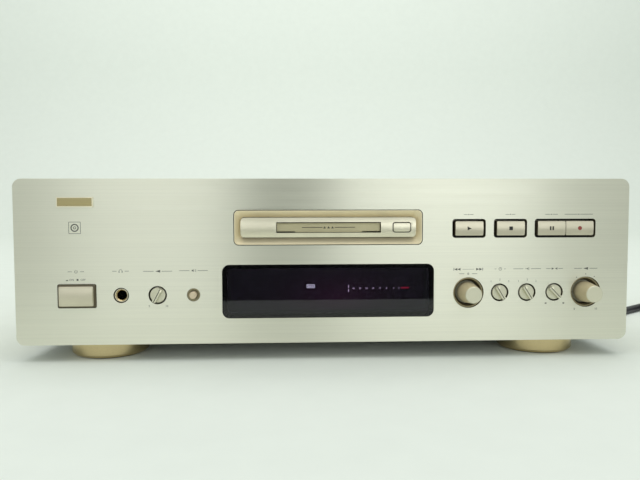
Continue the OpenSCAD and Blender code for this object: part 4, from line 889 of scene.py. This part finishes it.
def mark(corners, x, z, width, height, turn=0, face=FACE):
    """A printed shape with so many corners, fitted to a width and a height; at turn 0 a
    corner points up."""
    bpy.ops.mesh.primitive_cylinder_add(vertices=corners, radius=1, depth=1,
                                        rotation=(math.pi / 2, math.radians(turn), 0))
    shape = settle(new_piece("mark"))
    size = shape.dimensions
    shape.scale = (width * MM / size.x, INK_T / size.y, height * MM / size.z)
    return settle_at(settle(shape), x, z, face)


def bar(x, z, width, height, face=FACE):
    return mark(4, x, z, width, height, 45, face)


def wedge(x, z, width, height, side, face=FACE):
    """A triangle that points to the right for side 1 and to the left for side -1."""
    return mark(3, x, z, width, height, side * 90, face)


def arc(x, z, radius, line=0.28, gap=0, towards=0):
    """A ring of printed line on the panel, open over so many degrees about the way it is
    turned towards, clockwise from the top."""
    x, z, radius = x * MM, z * MM, radius * MM
    start = math.radians(towards + gap / 2)
    shape = sheet("arc", (x + radius * math.sin(start), FACE, z + radius * math.cos(start)),
                  (line * MM, INK_T), (0, start - math.pi / 2, 0))
    open_whole(shape)
    if not gap:
        bpy.ops.mesh.delete(type="ONLY_FACE")
        bpy.ops.mesh.select_all(action="SELECT")
    bpy.ops.mesh.spin(steps=ARC_STEPS, angle=-math.radians(360 - gap), center=(x, FACE, z),
                      axis=(0, 1, 0))
    close_edit()
    return tidy_mesh(shape)


def number(text, x, z, height, face=FACE):
    """Lettering with its middle at x and z, on a face that looks forward."""
    bpy.ops.object.text_add()
    letters = take(bpy.context.active_object)
    letters.data.body = text
    letters.data.resolution_u = 4
    letters.data.extrude = 0.5
    bpy.ops.object.convert(target="MESH")
    piece = new_piece("number")
    grow = height * MM / piece.dimensions.y
    piece.scale = (grow, grow, INK_T)
    piece.rotation_euler = (math.pi / 2, 0, 0)
    return tidy_mesh(settle_at(settle(piece), x, z, face))


def rules(x, z, width, room):
    """Two thin rules, one on each side of a sign that takes so much room."""
    length = (width - room) / 2
    return [bar(x + side * (width - length) / 2, z, length, 0.3) for side in (-1, 1)]


def power_sign(x, z):
    return [arc(x, z, 0.95, gap=80), bar(x, z + 0.7, 0.28, 1.1)]


def headphones_sign(x, z):
    cups = [bar(x + side * 1.05, z - 0.5, 0.55, 1.1) for side in (-1, 1)]
    return [arc(x, z, 1.05, gap=180, towards=180), *cups]


def level_sign(x, z):
    return [wedge(x, z, 3.4, 1.9, -1)]


def loudspeaker_sign(x, z):
    waves = [arc(x + 0.1, z, radius, 0.22, gap=285, towards=270) for radius in (1.0, 1.6)]
    return [bar(x - 0.9, z, 0.7, 0.9), wedge(x - 0.5, z, 1.1, 1.9, -1), *waves]


def clock_sign(x, z):
    return [arc(x, z, 1.0), bar(x, z + 0.35, 0.22, 0.8), bar(x + 0.28, z, 0.6, 0.22)]


def input_sign(x, z):
    return [bar(x - 0.7, z, 1.4, 0.3), wedge(x + 0.4, z, 0.9, 1.4, 1), bar(x + 1.2, z, 0.35, 2.0)]


def balance_sign(x, z):
    return [wedge(x + side * 1.2, z, 1.8, 1.6, -side) for side in (-1, 1)]


def press_sign(x, z):
    return [arc(x, z, 0.6, 0.22), mark(12, x, z, 0.5, 0.5)]


def disc_sign(x, z):
    """A plain outlined square that holds a ring."""
    side, line = 8, 0.3
    edges = [bar(x, z + k * side / 2, side, line) for k in (-1, 1)]
    edges += [bar(x + k * side / 2, z, line, side) for k in (-1, 1)]
    return edges + [arc(x, z, 2.4, 0.8), arc(x, z, 0.8, 0.4)]


# The sign over each control, its middle and the width that it takes with its rules
PANEL_SIGNS = [
    (power_sign, -175.2, 63.5, 11.2), (headphones_sign, -144.6, 63.7, 11.4),
    (level_sign, -119.0, 63.5, 20.0), (loudspeaker_sign, -94.2, 63.8, 19.8),
    (clock_sign, 123.7, 63.6, 8.0), (input_sign, 143.3, 63.6, 20.0),
    (balance_sign, 163.3, 63.6, 12.2), (level_sign, 186.2, 63.6, 17.0),
    (press_sign, 100.5, 60.3, 13.0),
]
# Numbers on the dials and the two words of the mains switch, with the middle of each
DIAL_NUMBERS = [
    ("ON", -178.3, 57.8), ("OFF", -170.4, 57.8), ("0", -125.2, 39.0), ("10", -112.9, 39.0),
    ("1", 117.1, 54.8), ("2", 123.6, 55.9), ("3", 130.0, 54.8),
    ("1", 137.1, 54.8), ("2", 143.5, 55.9), ("3", 149.8, 54.8),
    ("0", 178.4, 34.3), ("10", 194.4, 34.3),
]
LEVEL_DOTS = [(179.6, 57.2), (186.3, 59.6), (192.6, 57.7), (176.4, 46.6)]
KEY_RULES = [(100.4, 6.8), (130.5, 7.0), (160.4, 9.2), (180.3, 20.6)]
# Room for a sign and for a key's dot between their rules, and the heights of two rows: the
# rules over the transport keys, and the skip arrows over the select knob
SIGN_ROOM, DOT_ROOM = 5.6, 1.8
KEY_RULES_Z = 102.6
SKIP_Z = 63.5


def print_panel():
    """All signs, rules and numbers on the panel itself."""
    parts = []
    for sign, x, z, width in PANEL_SIGNS:
        parts += sign(x, z) + rules(x, z, width, SIGN_ROOM)
    parts += [number(text, x, z, 1.4) for text, x, z in DIAL_NUMBERS]
    parts += [mark(16, x, z, 0.7, 0.7) for x, z in LEVEL_DOTS]
    for x, width in KEY_RULES:
        parts += rules(x, KEY_RULES_Z, width, DOT_ROOM)
        parts.append(mark(12, x, KEY_RULES_Z, 0.8, 0.8))
    parts += [bar(-181.4, 57.4, 1.4, 0.7), bar(-174.2, 57.8, 1.3, 1.3)]
    parts += [wedge(x, 38.6, 1.6, 1.4, side) for x, side in ((157.0, -1), (170.5, 1))]
    for side, edge in ((-1, 89.9), (1, 111.2)):
        parts.append(bar(edge - side * 0.2, SKIP_Z, 0.4, 1.9))
        parts += [wedge(edge - side * step, SKIP_Z, 2.2, 1.9, side) for step in (1.6, 3.9)]
    parts.append(bar(100.5, SKIP_Z, 8.4, 0.2))
    parts += disc_sign(-175.4, 94)
    finish_piece(join("panel_print", parts), INK)


def print_keys():
    """The signs on the transport keys and the eject button, each riding on its own."""
    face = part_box("play_button")[0].y
    x = {key: centre_of(key + "_button")[0] for key in KEYS}
    z = centre_of("play_button")[1]
    signs = {
        "play": [wedge(x["play"], z, 2.9, 2.7, 1, face)],
        "stop": [bar(x["stop"], z, 2.6, 2.6, face)],
        "pause": [bar(x["pause"] + side * 0.95, z, 1.1, 2.7, face) for side in (-1, 1)],
        "record": [mark(32, x["record"], z, 2.9, 2.9, 0, face)],
    }
    for key, shapes in signs.items():
        finish_piece(join(key + "_sign", shapes), RED_INK if key == "record" else DARK_INK_AND_SHADE,
                     BODY_OF[key + "_button"])
    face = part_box("eject_button")[0].y
    x, z = centre_of("eject_button")
    parts = [mark(3, x, z + 0.35, 2.3, 1.1, 0, face), bar(x, z - 0.75, 2.3, 0.4, face)]
    finish_piece(join("eject_sign", parts), PALE_INK, BODY_OF["eject_button"])


FLAP_BEHIND_PANEL = 2.4 * MM


def print_flap():
    """Arrows between two rules on the slot's flap, which show where the disc goes in."""
    face = FACE + FLAP_BEHIND_PANEL
    x, z = centre_of("slot_flap")
    parts = [bar(x + side * 11.6, z, 14.5, 0.45, face) for side in (-1, 1)]
    parts += [mark(3, x + step * 2.8, z, 2.0, 1.5, 0, face) for step in (-1, 0, 1)]
    finish_piece(join("flap_print", parts), DARK_INK_AND_SHADE, BODY_OF["slot_flap"])


def paint_blade_shade_and_pointers():
    """A dark line of painted shade along each small knob's blade, where its flank is in shade,
    and the light spot at its pointing end.
    """
    shapes = (("line", (0, 0, 0.5, 9.8), DARK_INK_AND_SHADE), ("spot", (0.8, 3.9, 1.3, 1.7), PALE_INK))
    for knob, lean in KNOB_LEANS.items():
        line = middle(knob)
        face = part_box(knob)[0].y
        for name, place_and_size, ink in shapes:
            shape = bar(*place_and_size, face=0)
            shape.rotation_euler = (0, math.radians(lean), 0)
            shape.location = (line.x, face, line.z)
            finish_piece(join(knob + "_" + name, [settle(shape)]), ink, BODY_OF[knob])


def print_rear():
    """Plain numbers over the sockets on the rear panel."""
    parts = []
    for text, x, z in (("1", -180, 73), ("2", -162, 73), ("3", -128, 55), ("4", -104, 73)):
        label = number(text, 0, 0, 3, face=0)
        label.rotation_euler = (0, 0, math.pi)
        label.location = (x * MM, BACK, z * MM)
        parts.append(settle(label))
    finish_piece(join("rear_print", parts), DARK_INK_AND_SHADE)


def fit_insulators():
    """The coloured ring inside each phono socket: white above, red below."""
    profile = [(-6, 2.9), (0, 2.9), (0.15, 2.7), (0.15, 1.8), (0, 1.7), (-6, 1.7)]
    for i, (x, z) in enumerate(PHONO_PLACES):
        ring = turned("insulator_" + str(i + 1), (x, BACK + PHONO_OUT, z), profile, sides=40)
        finish_piece(soften(ring, 40), RED_RING if z < 50 * MM else WHITE_RING)


# ---------------------------------------------------------------- display

TUBE_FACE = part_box("display_tube")[0].y


def behind(x, z):
    """Where a point lies on the tube that is seen at x, z in the plane of the panel."""
    eye_x, eye_y, eye_z = (at / MM for at in CAMERA_PLACE)
    grow = (TUBE_FACE / MM - eye_y) / (FACE / MM - eye_y)
    return eye_x + (x - eye_x) * grow, eye_z + (z - eye_z) * grow


# The meter's numbers and where each is seen
METER = [("40", 18.1), ("30", 22.8), ("24", 27.4), ("18", 32.1), ("12", 36.9), ("8", 41.6),
         ("4", 46.7), ("2", 50.4)]


def light_display():
    """The lit cells of the display: a disc sign, the scale of a level meter and its red end."""
    x, z = behind(-12.2, 52.3)
    cell = [bar(x, z + k * 1.05, 5.6, 0.4, TUBE_FACE) for k in (-1, 1)]
    cell += [bar(x + k * 2.6, z, 0.4, 2.5, TUBE_FACE) for k in (-1, 1)]
    cell += [bar(x + k * 1.3, z, 0.7, 0.9, TUBE_FACE) for k in (-1, 0, 1)]
    finish_piece(join("disc_cell", cell), LIT_WHITE)
    scale = [number(text, *behind(at, 50.6), 1.2, TUBE_FACE) for text, at in METER]
    scale += [bar(*behind(14.6, at), 0.5, 2.0, TUBE_FACE) for at in (51.9, 49.0)]
    finish_piece(join("meter_scale", scale), LIT_DIM)
    red_end = bar(*behind(54.7, 50.8), 5.8, 1.2, TUBE_FACE)
    finish_piece(join("meter_end", [red_end]), LIT_RED)


print_panel()
print_keys()
print_flap()
paint_blade_shade_and_pointers()
print_rear()
fit_insulators()
light_display()


# ---------------------------------------------------------------- light and floor

SWEEP_MIDDLE, SWEEP_SIZE, SWEEP_TALL, SWEEP_BEND = (0, -2.3, 0), (18, 10), 3.5, 0.9


def make_floor():
    """A pale paper sweep: flat under the deck, then up behind it."""
    floor = sheet("floor_sweep", SWEEP_MIDDLE, SWEEP_SIZE)
    corners = floor.data.vertices
    rear = max(corner.co.y for corner in corners)
    pick(floor, "EDGE", lambda edge: all(corners[i].co.y > rear - 0.01 for i in edge.vertices))
    bpy.ops.mesh.extrude_region_move(TRANSFORM_OT_translate={"value": (0, 0, SWEEP_TALL)})
    close_edit()
    modify(floor, "BEVEL", width=SWEEP_BEND, segments=16, limit_method="ANGLE")
    soften(floor, 60)
    floor.data.materials.append(FLOOR_PAPER)


NEUTRAL = (1, 1, 1)
COOL = (0.92, 0.96, 1.0)
# Each soft box: its place, where it aims, width, height, power in watts and colour
SOFT_BOXES = {
    "overhead": ((0, -0.1, 1.9), (0, 0, 0), 2.4, 2.0, 16, NEUTRAL),
    "left_box": ((-0.46, -1.9, 0.42), (-0.1, 0, 0.08), 0.75, 0.75, 2.3, COOL),
    "right_box": ((0.51, -1.9, 0.42), (0.1, 0, 0.08), 0.75, 0.75, 3.2, COOL),
    "backdrop_box": ((0, 1.3, 2.3), (0, 2.6, 1.3), 4, 0.6, 18, NEUTRAL),
}
ROOM_COLOUR, ROOM_STRENGTH = (0.95, 1.0, 0.965, 1), 0.67


def soft_light(name, place, aim, width, height, power, colour):
    """A soft box that lights the scene but doesn't show in it."""
    lamp = bpy.data.lights.new(name, "AREA")
    lamp.shape = "RECTANGLE"
    lamp.size = width
    lamp.size_y = height
    lamp.energy = power
    lamp.color = colour
    obj = place_new(name, lamp)
    obj.location = place
    obj.rotation_euler = (Vector(aim) - Vector(place)).to_track_quat("-Z", "Y").to_euler()
    obj.visible_camera = False


def black_card(name, place, size, upright):
    """A black card that only mirrored rays see, flat on the table or upright before the deck."""
    card = sheet(name, place, size, (math.pi / 2 if upright else 0, 0, 0))
    card.data.materials.append(BLACK_CARD)
    card.visible_camera = False
    card.visible_diffuse = False
    card.visible_transmission = False
    card.visible_shadow = False


def make_lights():
    """An even room, a soft box overhead, two before the deck and one on the backdrop."""
    world = bpy.data.worlds.new("studio")
    world.use_nodes = True
    room = world.node_tree.nodes["Background"]
    room.inputs["Color"].default_value = ROOM_COLOUR
    room.inputs["Strength"].default_value = ROOM_STRENGTH
    bpy.context.scene.world = world
    bpy.context.scene.view_settings.view_transform = "Standard"
    for name, settings in SOFT_BOXES.items():
        soft_light(name, *settings)


make_floor()
black_card("table_card", (0, -0.66, 0.002), (2.4, 0.48), upright=False)
black_card("upright_card", (-0.05, -1.5, 0.5), (0.3, 0.9), upright=True)
make_lights()
